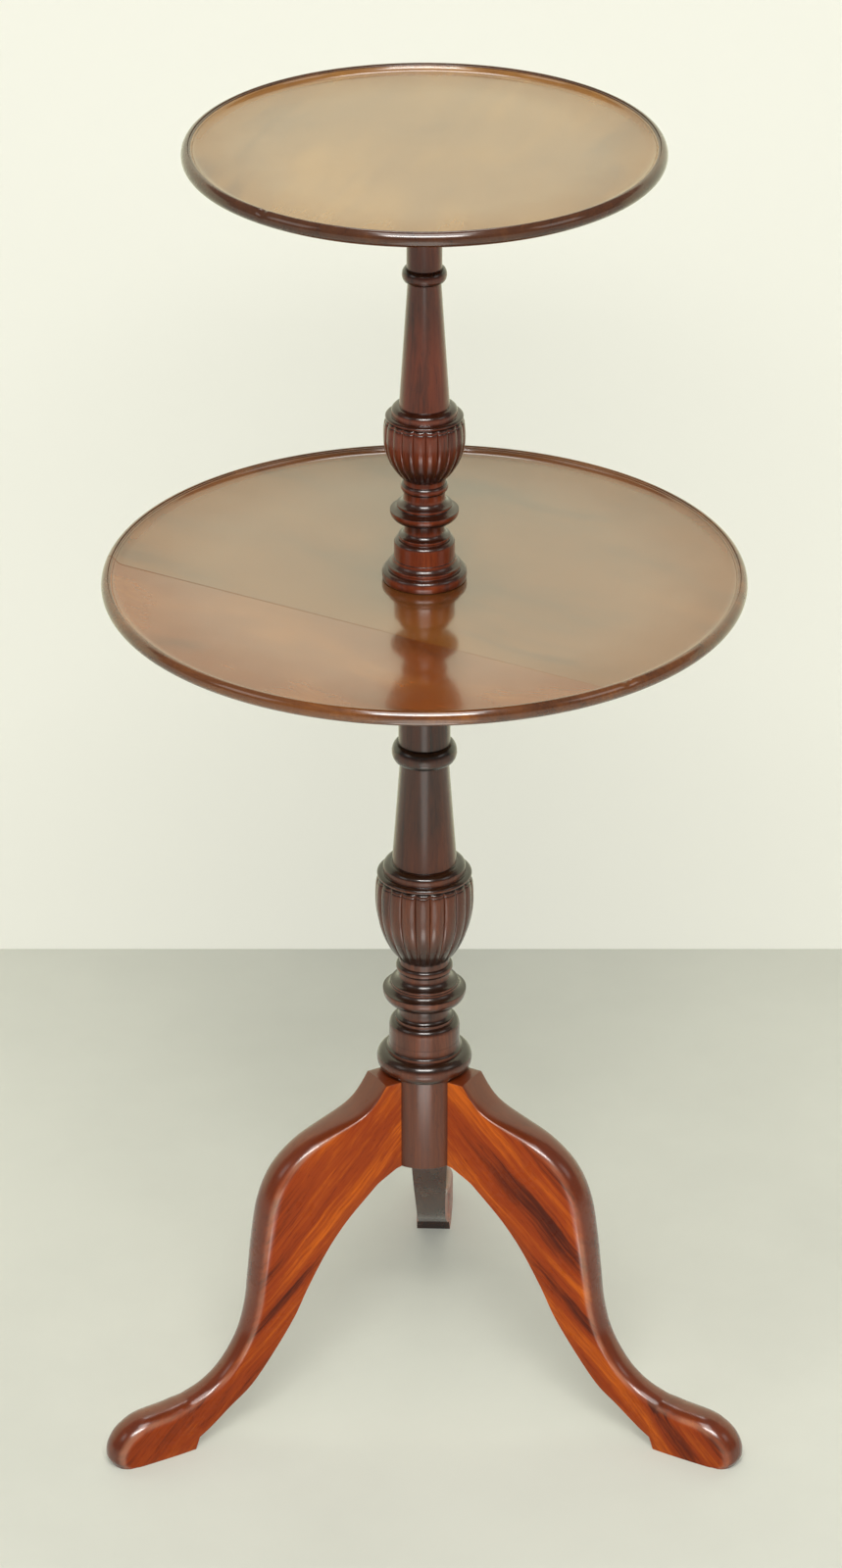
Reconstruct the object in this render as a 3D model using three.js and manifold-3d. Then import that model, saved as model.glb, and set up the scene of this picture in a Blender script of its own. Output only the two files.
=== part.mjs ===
// Two-tier dumbwaiter table in mahogany. A turned column on three cabriole legs carries a large dished
// tray. A second turned column seats on the first one's pin and carries a smaller tray. Both trays turn.
// Millimetres, +Z up, the floor at zero, the two front legs towards -Y.
import Module from "manifold-3d";
import * as THREE from "three";
import { mergeVertices } from "three/addons/utils/BufferGeometryUtils.js";

const wasm = await Module();
wasm.setup();

// Heights that set the table out
const lowerRimHeight = 668;
const upperRimHeight = 991;
const legTopHeight = 265.5;

// Clearances shared by all pieces
const fitGap = 0.3;
const runningGap = 0.35;
const pinClearance = 0.12;
const cutOverrun = 6;

// How finely round work is made: counts of sides and of steps
const columnSides = 24;
const traySides = 60;
const bearerSides = 40;
const screwSides = 8;
const mouldingSteps = 2;
const urnSteps = 5;
const sidesPerReed = 4;

// Legs: one cabriole outline sawn from thick board, rounded over on top, held by a sliding dovetail
const leg = { reach: 271, thickness: 28, rootMargin: 2, rootDrop: 9.5 };
// Degrees around the column. The back leg stands a little off the even third
const legPlaces = [
  { place: "front_left", angle: 210 },
  { place: "front_right", angle: 330 },
  { place: "back", angle: 88 },
];
// The lower line from the pad's heel up to the block: shares of the reach, of the block's height above the
// floor and of the thickness
const archLineShares = [
  [0.753, 0, 1],
  [0.74, 0.047, 1],
  [0.701, 0.076, 0.8],
  [0.642, 0.137, 0.78],
  [0.572, 0.209, 0.78],
  [0.507, 0.319, 0.84],
  [0.446, 0.445, 0.93],
  [0.395, 0.577, 1],
  [0.358, 0.704, 1],
  [0.325, 0.792, 1],
  [0.292, 0.859, 1],
  [0.247, 0.908, 1],
];
// The upper line from the block out to the toe: shares of the reach, of the top's height and of the
// thickness, and the depth of the rounding as a share of the thickness too
const kneeLineShares = [
  [0.166, 1, 1, 0.04],
  [0.193, 0.965, 1, 0.04],
  [0.236, 0.92, 1, 0.05],
  [0.303, 0.906, 1, 0.08],
  [0.382, 0.882, 1, 0.15],
  [0.44, 0.84, 1, 0.21],
  [0.484, 0.781, 1, 0.25],
  [0.517, 0.703, 1, 0.26],
  [0.536, 0.597, 0.98, 0.26],
  [0.549, 0.488, 0.93, 0.25],
  [0.561, 0.388, 0.86, 0.24],
  [0.587, 0.3, 0.79, 0.22],
  [0.637, 0.222, 0.76, 0.21],
  [0.693, 0.176, 0.8, 0.22],
  [0.753, 0.152, 0.9, 0.25],
  [0.818, 0.141, 0.98, 0.29],
  [0.895, 0.135, 1, 0.32],
  [0.937, 0.12, 1, 0.37],
  [0.969, 0.098, 1, 0.42],
  [0.993, 0.064, 1, 0.45],
  [1, 0.026, 1, 0.45],
  [0.985, 0, 1, 0.45],
];
const roundingSteps = 6;
const dovetail = { depth: 12, neckWidth: 12, tailWidth: 17, shoulderDrop: 15 };

// Leg plate: the three-armed iron strap screwed under the block and the leg roots
const plate = { thickness: 2.5, width: 15, overhang: 21, bendInset: 1, screwInset: 8 };

// Wood screws: countersunk, slotted
const screw = { headRadius: 4.2, headDepth: 3, shankRadius: 2.1, tip: 5, slotWidth: 1.2, slotDepth: 1.3 };
const plateScrewLength = 19;
const bearerScrewBite = 6.5;

// Columns: the widest radius, and the reeds of the urn with the degrees that they are turned by
const block = { radius: 31, height: 72.5 };
const lowerColumn = { radius: 36, reedDepth: 2.1, reedCount: 20, reedAngle: 7 };
const upperColumn = { radius: 30.4, reedDepth: 1.8, reedCount: 20, reedAngle: 1.7 };
// A column's outline from its foot to the shoulder that carries the bearer. Each moulding starts where the
// last one ends: its shape, the radius of its head and its height, and for rounds the widest radius. Radii
// are shares of the column's widest radius, heights are shares of its length. The urn has the radii of its
// foot, widest ring and head, and the heights of its bowl and crown. The shaft has its foot and head
const lowerOutlineShares = {
  foot: [
    ["round", 0.8, 0.0423, 0.978],
    ["straight", 0.783, 0.006],
    ["hollow", 0.728, 0.0191],
    ["straight", 0.725, 0.0267],
    ["swell", 0.628, 0.0164],
    ["straight", 0.6, 0.0065],
    ["hollow", 0.517, 0.0125],
    ["straight", 0.517, 0.0177],
    ["swell", 0.853, 0.0286],
    ["straight", 0.853, 0.0049],
    ["hollow", 0.706, 0.0125],
    ["straight", 0.689, 0.0049],
    ["hollow", 0.525, 0.0172],
    ["straight", 0.525, 0.0055],
    ["round", 0.525, 0.0177, 0.583],
    ["straight", 0.517, 0.0123],
  ],
  urnRadii: [0.525, 1, 0.961],
  urnHeights: [0.1391, 0.0436],
  shoulder: [
    ["round", 0.872, 0.0125, 0.964],
    ["straight", 0.842, 0.0022],
    ["straight", 0.839, 0.006],
    ["swell", 0.689, 0.0125],
  ],
  shaft: [0.656, 0.492],
  cap: [
    ["round", 0.536, 0.042, 0.658],
    ["straight", 0.522, 0.1909],
    ["hollow", 0.75, 0.0382],
    ["straight", 0.761, 0.0082],
    ["swell", 0.889, 0.0191],
    ["straight", 0.889, 0.0136],
  ],
};
const upperSeatShare = 0.974;
const upperOutlineShares = {
  foot: [
    ["round", 0.888, 0.0288, 1],
    ["straight", 0.842, 0.0054],
    ["straight", 0.862, 0.0061],
    ["hollow", 0.737, 0.0169],
    ["straight", 0.714, 0.0365],
    ["swell", 0.612, 0.0115],
    ["straight", 0.586, 0.0044],
    ["straight", 0.609, 0.0054],
    ["hollow", 0.467, 0.0156],
    ["straight", 0.467, 0.0203],
    ["swell", 0.806, 0.0264],
    ["straight", 0.806, 0.0047],
    ["hollow", 0.605, 0.0088],
    ["straight", 0.651, 0.0064],
    ["hollow", 0.484, 0.0176],
    ["straight", 0.484, 0.0159],
    ["round", 0.497, 0.021, 0.556],
    ["straight", 0.49, 0.0115],
  ],
  urnRadii: [0.493, 0.961, 0.911],
  urnHeights: [0.1134, 0.0406],
  shoulder: [
    ["round", 0.809, 0.0115, 0.911],
    ["straight", 0.776, 0.0024],
    ["straight", 0.77, 0.0061],
    ["swell", 0.618, 0.0139],
  ],
  shaft: [0.589, 0.388],
  cap: [
    ["round", 0.424, 0.0359, 0.52],
    ["straight", 0.411, 0.1239],
    ["hollow", 0.592, 0.0338],
    ["straight", 0.605, 0.0081],
    ["swell", 0.724, 0.019],
    ["straight", 0.724, 0.0135],
  ],
};
// The urn's bowl is one curve: inner control points as shares of its swelling and of its height
const bowlCurveShares = [
  [0.5, 0.16],
  [1.03, 0.56],
];
// How much thinner a reed is at the ends of the bowl, as shares of its full depth
const reedFootShare = 0.45;
const reedHeadShare = 0.8;
const urnCoreShare = 0.82;

// Pins: the lower one passes through the large tray and seats the upper column, the upper one is short
const lowerPin = { radius: 14, tenonRadius: 9.5, tenonLength: 38 };
const upperPin = { radius: 9, tipDrop: 1.5 };

// Trays: a flat field, a cove up to a small bead, and a rounded nose
const rim = {
  noseRadius: 5.75,
  noseWidth: 4.6,
  beadWidth: 1.9,
  beadDrop: 0.7,
  ledgeWidth: 1,
  ledgeDrop: 1.5,
  coveWidth: 7.2,
  drop: 4.7,
  underReach: 34,
};
const noseSteps = 6;
const coveSteps = 2;
const lowerTray = { radius: 230, boardThickness: 11.5, jointOffset: 92, jointAzimuth: 239.3 };
const upperTray = { radius: 167.5, boardThickness: 10.5 };
// Bearers: the turned discs screwed under the trays, which sit on the column's shoulder and turn
const lowerBearer = { radius: 76, thickness: 19, edgeRadius: 6, screwInset: 20, screwCount: 4 };
const upperBearer = { radius: 52, thickness: 16, edgeRadius: 5, screwInset: 15, screwCount: 4 };

// Heights that follow from the sizes above
const lowerFieldHeight = lowerRimHeight - rim.drop;
const lowerBearerHeight = lowerFieldHeight - lowerTray.boardThickness - fitGap - lowerBearer.thickness;
const lowerShoulderHeight = lowerBearerHeight - runningGap;
const upperColumnHeight = lowerFieldHeight + runningGap;
const upperFieldHeight = upperRimHeight - rim.drop;
const upperBearerHeight = upperFieldHeight - upperTray.boardThickness - fitGap - upperBearer.thickness;
const upperShoulderHeight = upperBearerHeight - runningGap;
const blockFloorHeight = legTopHeight - block.height;
const plateReach = block.radius + plate.overhang;
const plateScrewReach = plateReach - plate.screwInset;
const rootReach = plateReach + leg.rootMargin;

// Finishes
const darkPolish = new THREE.MeshStandardMaterial({ color: 0x3a1a12, roughness: 0.22, metalness: 0 });
const redPolish = new THREE.MeshStandardMaterial({ color: 0x7a3415, roughness: 0.25, metalness: 0 });
const trayPolish = new THREE.MeshStandardMaterial({ color: 0x6b3a1e, roughness: 0.2, metalness: 0 });
const plainWood = new THREE.MeshStandardMaterial({ color: 0x5a3420, roughness: 0.7, metalness: 0 });
const iron = new THREE.MeshStandardMaterial({ color: 0x35302c, roughness: 0.6, metalness: 0.8 });

const radians = THREE.MathUtils.degToRad;
const lerp = THREE.MathUtils.lerp;
const halfTurn = Math.PI;
const quarterTurn = Math.PI / 2;

// A closed geometry as a solid that can be joined and cut
function solidOf(geometry) {
  const bare = geometry.clone();
  bare.deleteAttribute("normal");
  bare.deleteAttribute("uv");
  const merged = mergeVertices(bare);
  return new wasm.Manifold(
    new wasm.Mesh({
      numProp: 3,
      vertProperties: new Float32Array(merged.attributes.position.array),
      triVerts: new Uint32Array(merged.index.array),
    }),
  );
}

function geometryOf(solid) {
  const mesh = solid.getMesh();
  const geometry = new THREE.BufferGeometry();
  geometry.setAttribute("position", new THREE.BufferAttribute(mesh.vertProperties, mesh.numProp));
  geometry.setIndex(new THREE.BufferAttribute(mesh.triVerts, 1));
  geometry.computeVertexNormals();
  return geometry;
}

function named(name, geometry, material) {
  const mesh = new THREE.Mesh(geometry, material);
  mesh.name = name;
  return mesh;
}

// Turns a list of [radius, height] points about Z
function turned(outline, sides) {
  const points = outline.map(([radius, height]) => new THREE.Vector2(radius, height));
  return new THREE.LatheGeometry(points, sides).rotateX(quarterTurn);
}

function cylinder(radius, bottom, top, sides) {
  return turned(
    [
      [0, bottom],
      [radius, bottom],
      [radius, top],
      [0, top],
    ],
    sides,
  );
}

// Extrudes a closed list of [x, y] points straight up from bottom to top
function prism(points, bottom, top) {
  const shape = new THREE.Shape(points.map(([x, y]) => new THREE.Vector2(x, y)));
  const solid = new THREE.ExtrudeGeometry(shape, { depth: top - bottom, bevelEnabled: false });
  return solid.translate(0, 0, bottom);
}

// A stretch of a column's mouldings, from shares to millimetres
function sized(shares, radius, length) {
  return shares.map(([shape, head, height, widest = head]) => ({
    shape,
    head: head * radius,
    widest: widest * radius,
    height: height * length,
  }));
}

// Adds one moulding to an outline. Rounds bulge, swells are convex quarters and hollows concave ones
function addMoulding(outline, { shape, head, widest, height }) {
  const [foot, base] = outline.at(-1);
  if (shape === "straight") {
    if (head !== foot) outline.push([head, base]);
    outline.push([head, base + height]);
    return;
  }
  const steps = shape === "round" ? 2 * mouldingSteps : mouldingSteps;
  const risesLate = shape === "swell" ? head > foot : head < foot;
  for (let i = 1; i <= steps; i++) {
    const t = i / steps;
    if (shape === "round") {
      const line = lerp(foot, head, t);
      const rise = (1 - Math.cos(halfTurn * t)) / 2;
      outline.push([line + (widest - line) * Math.sin(halfTurn * t), base + height * rise]);
      continue;
    }
    const early = Math.sin(quarterTurn * t);
    const late = 1 - Math.cos(quarterTurn * t);
    outline.push([
      lerp(foot, head, risesLate ? early : late),
      base + height * (risesLate ? late : early),
    ]);
  }
}

// Crest radius and height of the urn at each ring, bowl first and then the crown that closes over it
function urnRings(urn) {
  const swelling = urn.widest - urn.foot;
  const [lowPull, highPull] = bowlCurveShares;
  const bowl = new THREE.CubicBezierCurve(
    new THREE.Vector2(urn.foot, 0),
    new THREE.Vector2(urn.foot + swelling * lowPull[0], urn.bowl * lowPull[1]),
    new THREE.Vector2(urn.foot + swelling * highPull[0], urn.bowl * highPull[1]),
    new THREE.Vector2(urn.widest, urn.bowl),
  );
  const rings = bowl.getPoints(urnSteps).map(({ x, y }, i) => ({
    radius: x,
    height: y,
    depth: urn.reedDepth * lerp(reedFootShare, 1, i / urnSteps),
  }));
  for (let i = 1; i <= mouldingSteps; i++) {
    const turn = (quarterTurn * i) / mouldingSteps;
    rings.push({
      radius: lerp(urn.widest, urn.head, 1 - Math.cos(turn)),
      height: urn.bowl + urn.crown * Math.sin(turn),
      depth: urn.reedDepth * lerp(1, reedHeadShare, i / mouldingSteps),
    });
  }
  return rings;
}

// The reeded part of a column as one closed solid standing at zero
function reededUrn(urn) {
  const sides = urn.reedCount * sidesPerReed;
  const rings = urnRings(urn);
  const positions = [];
  const faces = [];
  for (const { radius, height, depth } of rings) {
    for (let j = 0; j < sides; j++) {
      const across = ((j % sidesPerReed) / sidesPerReed) * 2 - 1;
      const reedRadius = radius - depth * (1 - Math.sqrt(1 - across * across));
      const angle = (2 * halfTurn * j) / sides + radians(urn.reedAngle);
      positions.push(reedRadius * Math.cos(angle), reedRadius * Math.sin(angle), height);
    }
  }
  const footCentre = positions.push(0, 0, rings[0].height) / 3 - 1;
  const headCentre = positions.push(0, 0, rings.at(-1).height) / 3 - 1;
  const lastRing = (rings.length - 1) * sides;
  for (let j = 0; j < sides; j++) {
    const next = (j + 1) % sides;
    for (let i = 0; i < lastRing; i += sides) {
      faces.push(i + j, i + next, i + sides + next, i + j, i + sides + next, i + sides + j);
    }
    faces.push(footCentre, next, j, headCentre, lastRing + j, lastRing + next);
  }
  const geometry = new THREE.BufferGeometry();
  geometry.setAttribute("position", new THREE.Float32BufferAttribute(positions, 3));
  geometry.setIndex(faces);
  return geometry;
}

const heightOf = (mouldings) => mouldings.reduce((sum, { height }) => sum + height, 0);

// One turned column. The outline comes in holding its foot, and the pin's outline ends it
function columnSolid(outline, column, shares, length, pinOutline) {
  const { radius } = column;
  const cap = sized(shares.cap, radius, length);
  const [foot, widest, head] = shares.urnRadii.map((share) => share * radius);
  const [bowl, crown] = shares.urnHeights.map((share) => share * length);
  const urn = { ...column, foot, widest, head, bowl, crown };
  const start = outline.at(-1)[1];
  sized(shares.foot, radius, length).forEach((moulding) => addMoulding(outline, moulding));
  const urnBase = outline.at(-1)[1];
  const urnTop = urnBase + urn.bowl + urn.crown;
  const core = urn.foot * urnCoreShare;
  outline.push([core, urnBase], [core, urnTop], [urn.head - urn.reedDepth, urnTop]);
  sized(shares.shoulder, radius, length).forEach((moulding) => addMoulding(outline, moulding));
  const shaftTop = start + length - heightOf(cap);
  const [shaftFoot, shaftHead] = shares.shaft.map((share) => share * radius);
  outline.push([shaftFoot, outline.at(-1)[1]], [shaftHead, shaftTop]);
  cap.forEach((moulding) => addMoulding(outline, moulding));
  outline.push(...pinOutline, [0, pinOutline.at(-1)[1]]);
  const reeded = reededUrn(urn).translate(0, 0, urnBase);
  return solidOf(turned(outline, columnSides)).add(solidOf(reeded));
}

// The dovetail in plan, radius outwards along X. With a clearance it is the socket's plan
function dovetailPlan(clearance, outerReach) {
  const inner = block.radius - dovetail.depth - clearance;
  const neck = dovetail.neckWidth / 2 + clearance;
  const tail = dovetail.tailWidth / 2 + clearance;
  return [
    [inner, -tail],
    [block.radius, -neck],
    [outerReach, -neck],
    [outerReach, neck],
    [block.radius, neck],
    [inner, tail],
  ];
}
const dovetailTop = legTopHeight - dovetail.shoulderDrop;

// Wood screw with its tip up at length and its slotted head face at zero. A clearance makes its hole
function screwOutline(length, clearance) {
  const shank = screw.shankRadius + clearance;
  const end = length + clearance;
  return [
    [0, 0],
    [screw.headRadius + clearance, 0],
    [shank, screw.headDepth],
    [shank, end - screw.tip],
    [0, end],
  ];
}

function screwHole(length) {
  const mouth = cylinder(screw.headRadius + fitGap, -cutOverrun, 0, screwSides);
  return solidOf(turned(screwOutline(length, fitGap), screwSides)).add(solidOf(mouth));
}

function woodScrew(name, length) {
  const slotLength = 4 * screw.headRadius;
  const slot = new THREE.BoxGeometry(slotLength, screw.slotWidth, 2 * screw.slotDepth);
  const body = solidOf(turned(screwOutline(length, 0), screwSides));
  return named(name, geometryOf(body.subtract(solidOf(slot))), iron);
}

// The lower column: block with three dovetail sockets, and the pin that the trays and upper column share
function makeLowerColumn() {
  const outline = [
    [0, 0],
    [block.radius, 0],
    [block.radius, block.height],
  ];
  const shoulder = lowerShoulderHeight - blockFloorHeight;
  const seat = upperColumnHeight - blockFloorHeight;
  let solid = columnSolid(outline, lowerColumn, lowerOutlineShares, shoulder - block.height, [
    [lowerPin.radius, shoulder],
    [lowerPin.radius, seat - fitGap],
    [lowerPin.tenonRadius, seat - fitGap],
    [lowerPin.tenonRadius, seat + lowerPin.tenonLength],
  ]);
  const socketTop = dovetailTop - blockFloorHeight + fitGap;
  const socketPlan = dovetailPlan(fitGap, block.radius + cutOverrun);
  for (const { angle } of legPlaces) {
    const socket = prism(socketPlan, -cutOverrun, socketTop).rotateZ(radians(angle));
    solid = solid.subtract(solidOf(socket));
  }
  const screwStart = -fitGap - plate.thickness;
  solid = solid.subtract(screwHole(plateScrewLength).translate([0, 0, screwStart]));
  const column = named("lower_column", geometryOf(solid), darkPolish);
  column.position.z = blockFloorHeight;
  return column;
}

function makeUpperColumn() {
  const bore = lowerPin.tenonRadius + fitGap;
  const boreDepth = lowerPin.tenonLength + fitGap;
  const shoulder = upperShoulderHeight - upperColumnHeight;
  const pinTop = upperFieldHeight - upperTray.boardThickness - upperPin.tipDrop - upperColumnHeight;
  const outline = [
    [0, boreDepth],
    [bore, boreDepth],
    [bore, 0],
    [upperSeatShare * upperColumn.radius, 0],
  ];
  const solid = columnSolid(outline, upperColumn, upperOutlineShares, shoulder, [
    [upperPin.radius, shoulder],
    [upperPin.radius, pinTop],
  ]);
  const column = named("upper_column", geometryOf(solid), darkPolish);
  column.position.z = upperColumnHeight;
  return column;
}

// Frame of a screw in a leg's root: square to the straight stretch of the arch line, below its strap
const archSlope = Math.atan2(leg.rootDrop, rootReach - block.radius);
function underRoot(reach, below) {
  const height = blockFloorHeight - (reach - block.radius) * Math.tan(archSlope);
  return [reach - below * Math.sin(archSlope), 0, height - below * Math.cos(archSlope)];
}

// A board sawn to a closed outline and rounded over where a station asks for it. A station is a place on
// the outline's middle, the width there, and how deep the rounding has gone when it meets the faces
function roundedBoard(stations, steps) {
  const count = stations.length;
  const rows = steps + 1;
  const positions = [];
  stations.forEach(({ x, z, width, rounding }, i) => {
    const before = stations.at(i - 1);
    const after = stations[(i + 1) % count];
    const along = new THREE.Vector2(after.x - before.x, after.z - before.z).normalize();
    const inward = z === 0 ? new THREE.Vector2(-1, 0) : new THREE.Vector2(-along.y, along.x);
    for (let k = 0; k < rows; k++) {
      const turn = halfTurn * (k / steps) - quarterTurn;
      const inset = rounding * (1 - Math.cos(turn));
      const across = (width / 2) * Math.sin(turn);
      positions.push(x + inward.x * inset, across, z + inward.y * inset);
    }
  });
  const faces = [];
  for (let i = 0; i < count; i++) {
    for (let k = 0; k < steps; k++) {
      const here = i * rows + k;
      const next = ((i + 1) % count) * rows + k;
      faces.push(here, here + 1, next + 1, here, next + 1, next);
    }
  }
  const nearFace = stations.map((_, i) => {
    const start = 3 * i * rows;
    return new THREE.Vector2(positions[start], positions[start + 2]);
  });
  for (const [a, b, c] of THREE.ShapeUtils.triangulateShape(nearFace, [])) {
    faces.push(a * rows, b * rows, c * rows);
    faces.push(c * rows + steps, b * rows + steps, a * rows + steps);
  }
  const geometry = new THREE.BufferGeometry();
  geometry.setAttribute("position", new THREE.Float32BufferAttribute(positions, 3));
  geometry.setIndex(faces);
  return geometry;
}

const legStation = (x, z, widthShare = 1, roundingShare = 0) => ({
  x,
  z,
  width: leg.thickness * widthShare,
  rounding: leg.thickness * roundingShare,
});
const legStations = (shares, height) =>
  shares.map(([x, z, ...rest]) => legStation(x * leg.reach, z * height, ...rest));

// One leg in its own frame: the column axis at zero, the toe along +X, standing on the floor
function legSolid() {
  const start = block.radius - cutOverrun;
  const top = legTopHeight - fitGap;
  const stations = [
    legStation(start, blockFloorHeight),
    legStation(block.radius, blockFloorHeight),
    legStation(rootReach, blockFloorHeight - leg.rootDrop),
    ...legStations(archLineShares.toReversed(), blockFloorHeight),
    ...legStations(kneeLineShares.toReversed(), top),
    legStation(start, top, 1, kneeLineShares[0][3]),
  ];
  const sawn = roundedBoard(stations, roundingSteps);
  const against = cylinder(block.radius + fitGap, 0, legTopHeight + cutOverrun, columnSides);
  const tenonPlan = dovetailPlan(0, block.radius + cutOverrun);
  const tenon = prism(tenonPlan, blockFloorHeight + fitGap, dovetailTop);
  const [x, y, z] = underRoot(plateScrewReach, fitGap + plate.thickness);
  const hole = screwHole(plateScrewLength).rotate([0, THREE.MathUtils.radToDeg(archSlope), 0]);
  return solidOf(sawn)
    .subtract(solidOf(against))
    .add(solidOf(tenon))
    .subtract(hole.translate([x, y, z]));
}

// The iron plate: three bent arms joined at the middle, drilled for its four screws
function plateSolid() {
  const arm = new THREE.Shape();
  const [endX, , endZ] = underRoot(plateReach, fitGap);
  const [tipX, , tipZ] = underRoot(plateReach, fitGap + plate.thickness);
  const bendReach = block.radius - plate.bendInset;
  const bendHeight = blockFloorHeight - fitGap;
  arm.moveTo(0, bendHeight - plate.thickness);
  arm.lineTo(bendReach, bendHeight - plate.thickness);
  arm.lineTo(tipX, tipZ);
  arm.lineTo(endX, endZ);
  arm.lineTo(bendReach, bendHeight);
  arm.lineTo(0, bendHeight);
  const strap = new THREE.ExtrudeGeometry(arm, { depth: plate.width, bevelEnabled: false });
  strap.translate(0, 0, -plate.width / 2).rotateX(quarterTurn);
  const tilt = THREE.MathUtils.radToDeg(archSlope);
  const [x, y, z] = underRoot(plateScrewReach, fitGap + plate.thickness);
  const middle = [0, 0, bendHeight - plate.thickness];
  let solid = solidOf(cylinder(plate.width, middle[2], bendHeight, columnSides));
  for (const { angle } of legPlaces) {
    const drilled = solidOf(strap).subtract(
      screwHole(plateScrewLength).rotate([0, tilt, 0]).translate([x, y, z]),
    );
    solid = solid.add(drilled.rotate([0, 0, angle]));
  }
  return solid.subtract(screwHole(plateScrewLength).translate(middle));
}

function makeBase() {
  const base = new THREE.Group();
  const legShape = geometryOf(legSolid());
  const [x, y, z] = underRoot(plateScrewReach, fitGap + plate.thickness);
  for (const { place, angle } of legPlaces) {
    const side = new THREE.Group();
    side.rotation.z = radians(angle);
    side.add(named(`leg_${place}`, legShape, redPolish));
    const fixing = woodScrew(`plate_screw_${place}`, plateScrewLength);
    fixing.position.set(x, y, z);
    fixing.rotation.y = archSlope;
    side.add(fixing);
    base.add(side);
  }
  const middleScrew = woodScrew("plate_screw_middle", plateScrewLength);
  middleScrew.position.z = blockFloorHeight - fitGap - plate.thickness;
  base.add(middleScrew, named("leg_plate", geometryOf(plateSolid()), iron));
  return base;
}

// Outer part of a tray's outline, from the underside round the nose and over the moulding to the field
function rimOutline(radius, boardThickness) {
  const field = boardThickness;
  const top = field + rim.drop;
  const noseHeight = top - rim.noseRadius;
  const outline = [[radius - rim.underReach, 0]];
  for (let i = 0; i <= noseSteps; i++) {
    const turn = halfTurn * (i / noseSteps) - quarterTurn;
    const reach = turn > 0 ? rim.noseWidth : rim.noseRadius;
    outline.push([
      radius - reach * (1 - Math.cos(turn)),
      noseHeight + rim.noseRadius * Math.sin(turn),
    ]);
  }
  const bead = radius - rim.noseWidth - rim.beadWidth;
  outline.push([radius - rim.noseWidth, top - rim.beadDrop], [bead, top - rim.beadDrop]);
  const ledge = bead - rim.ledgeWidth;
  outline.push([bead, top - rim.ledgeDrop], [ledge, top - rim.ledgeDrop]);
  for (let i = 1; i <= coveSteps; i++) {
    const turn = (quarterTurn * i) / coveSteps;
    outline.push([
      ledge - rim.coveWidth * (1 - Math.cos(turn)),
      lerp(top - rim.ledgeDrop, field, Math.sin(turn)),
    ]);
  }
  return outline;
}

function bearerSolid(bearer, bore) {
  const { radius, thickness, edgeRadius } = bearer;
  const outline = [
    [bore, 0],
    [radius - edgeRadius, 0],
  ];
  for (let i = 1; i <= mouldingSteps; i++) {
    const turn = (quarterTurn * i) / mouldingSteps;
    outline.push([
      radius - edgeRadius * (1 - Math.sin(turn)),
      edgeRadius * (1 - Math.cos(turn)),
    ]);
  }
  outline.push([radius, thickness], [bore, thickness], [bore, 0]);
  return drilledForScrews(solidOf(turned(outline, bearerSides)), bearer, 0);
}

// Places of a bearer's screws, and the holes for them in whatever lies at the given height
function screwPlaces(bearer) {
  const circle = bearer.radius - bearer.screwInset;
  return Array.from({ length: bearer.screwCount }, (_, i) => {
    const angle = (2 * halfTurn * (i + 1 / 2)) / bearer.screwCount;
    return [circle * Math.cos(angle), circle * Math.sin(angle)];
  });
}

function drilledForScrews(solid, bearer, height) {
  const length = bearer.thickness + fitGap + bearerScrewBite;
  return screwPlaces(bearer).reduce(
    (made, [x, y]) => made.subtract(screwHole(length).translate([x, y, -height])),
    solid,
  );
}

function makeBearer(name, bearer, pinRadius, height) {
  const group = new THREE.Group();
  group.position.z = height;
  const solid = bearerSolid(bearer, pinRadius + pinClearance);
  group.add(named(name, geometryOf(solid), plainWood));
  screwPlaces(bearer).forEach(([x, y], i) => {
    const fixing = woodScrew(`${name}_screw_${i + 1}`, bearer.thickness + fitGap + bearerScrewBite);
    fixing.position.set(x, y, 0);
    group.add(fixing);
  });
  return group;
}

// The large tray: turned as one disc, then parted along the glued joint between its two boards
function makeLowerTray() {
  const hole = lowerPin.radius + pinClearance;
  const { radius, boardThickness, jointOffset, jointAzimuth } = lowerTray;
  const outline = [
    [hole, 0],
    ...rimOutline(radius, boardThickness),
    [hole, boardThickness],
    [hole, 0],
  ];
  const height = lowerBearer.thickness + fitGap;
  const disc = drilledForScrews(solidOf(turned(outline, traySides)), lowerBearer, height);
  const parting = new THREE.BoxGeometry(2 * radius, 3 * radius, radius);
  const beyond = solidOf(parting.clone().translate(jointOffset - fitGap / 2 + radius, 0, 0));
  const within = solidOf(parting.clone().translate(jointOffset + fitGap / 2 - radius, 0, 0));
  const tray = new THREE.Group();
  tray.position.z = lowerFieldHeight - boardThickness;
  const backBoard = disc.subtract(beyond.rotate([0, 0, jointAzimuth]));
  const frontBoard = disc.subtract(within.rotate([0, 0, jointAzimuth]));
  tray.add(named("lower_tray_back_board", geometryOf(backBoard), trayPolish));
  tray.add(named("lower_tray_front_board", geometryOf(frontBoard), trayPolish));
  const turning = new THREE.Group();
  turning.add(tray, makeBearer("lower_bearer", lowerBearer, lowerPin.radius, lowerBearerHeight));
  return turning;
}

function makeUpperTray() {
  const { radius, boardThickness } = upperTray;
  const outline = [[0, 0], ...rimOutline(radius, boardThickness), [0, boardThickness]];
  const height = upperBearer.thickness + fitGap;
  const disc = drilledForScrews(solidOf(turned(outline, traySides)), upperBearer, height);
  const board = named("upper_tray_board", geometryOf(disc), trayPolish);
  board.position.z = upperFieldHeight - boardThickness;
  const turning = new THREE.Group();
  turning.add(board, makeBearer("upper_bearer", upperBearer, upperPin.radius, upperBearerHeight));
  return turning;
}

const table = new THREE.Group();
table.add(makeBase(), makeLowerColumn(), makeUpperColumn(), makeLowerTray(), makeUpperTray());

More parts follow.
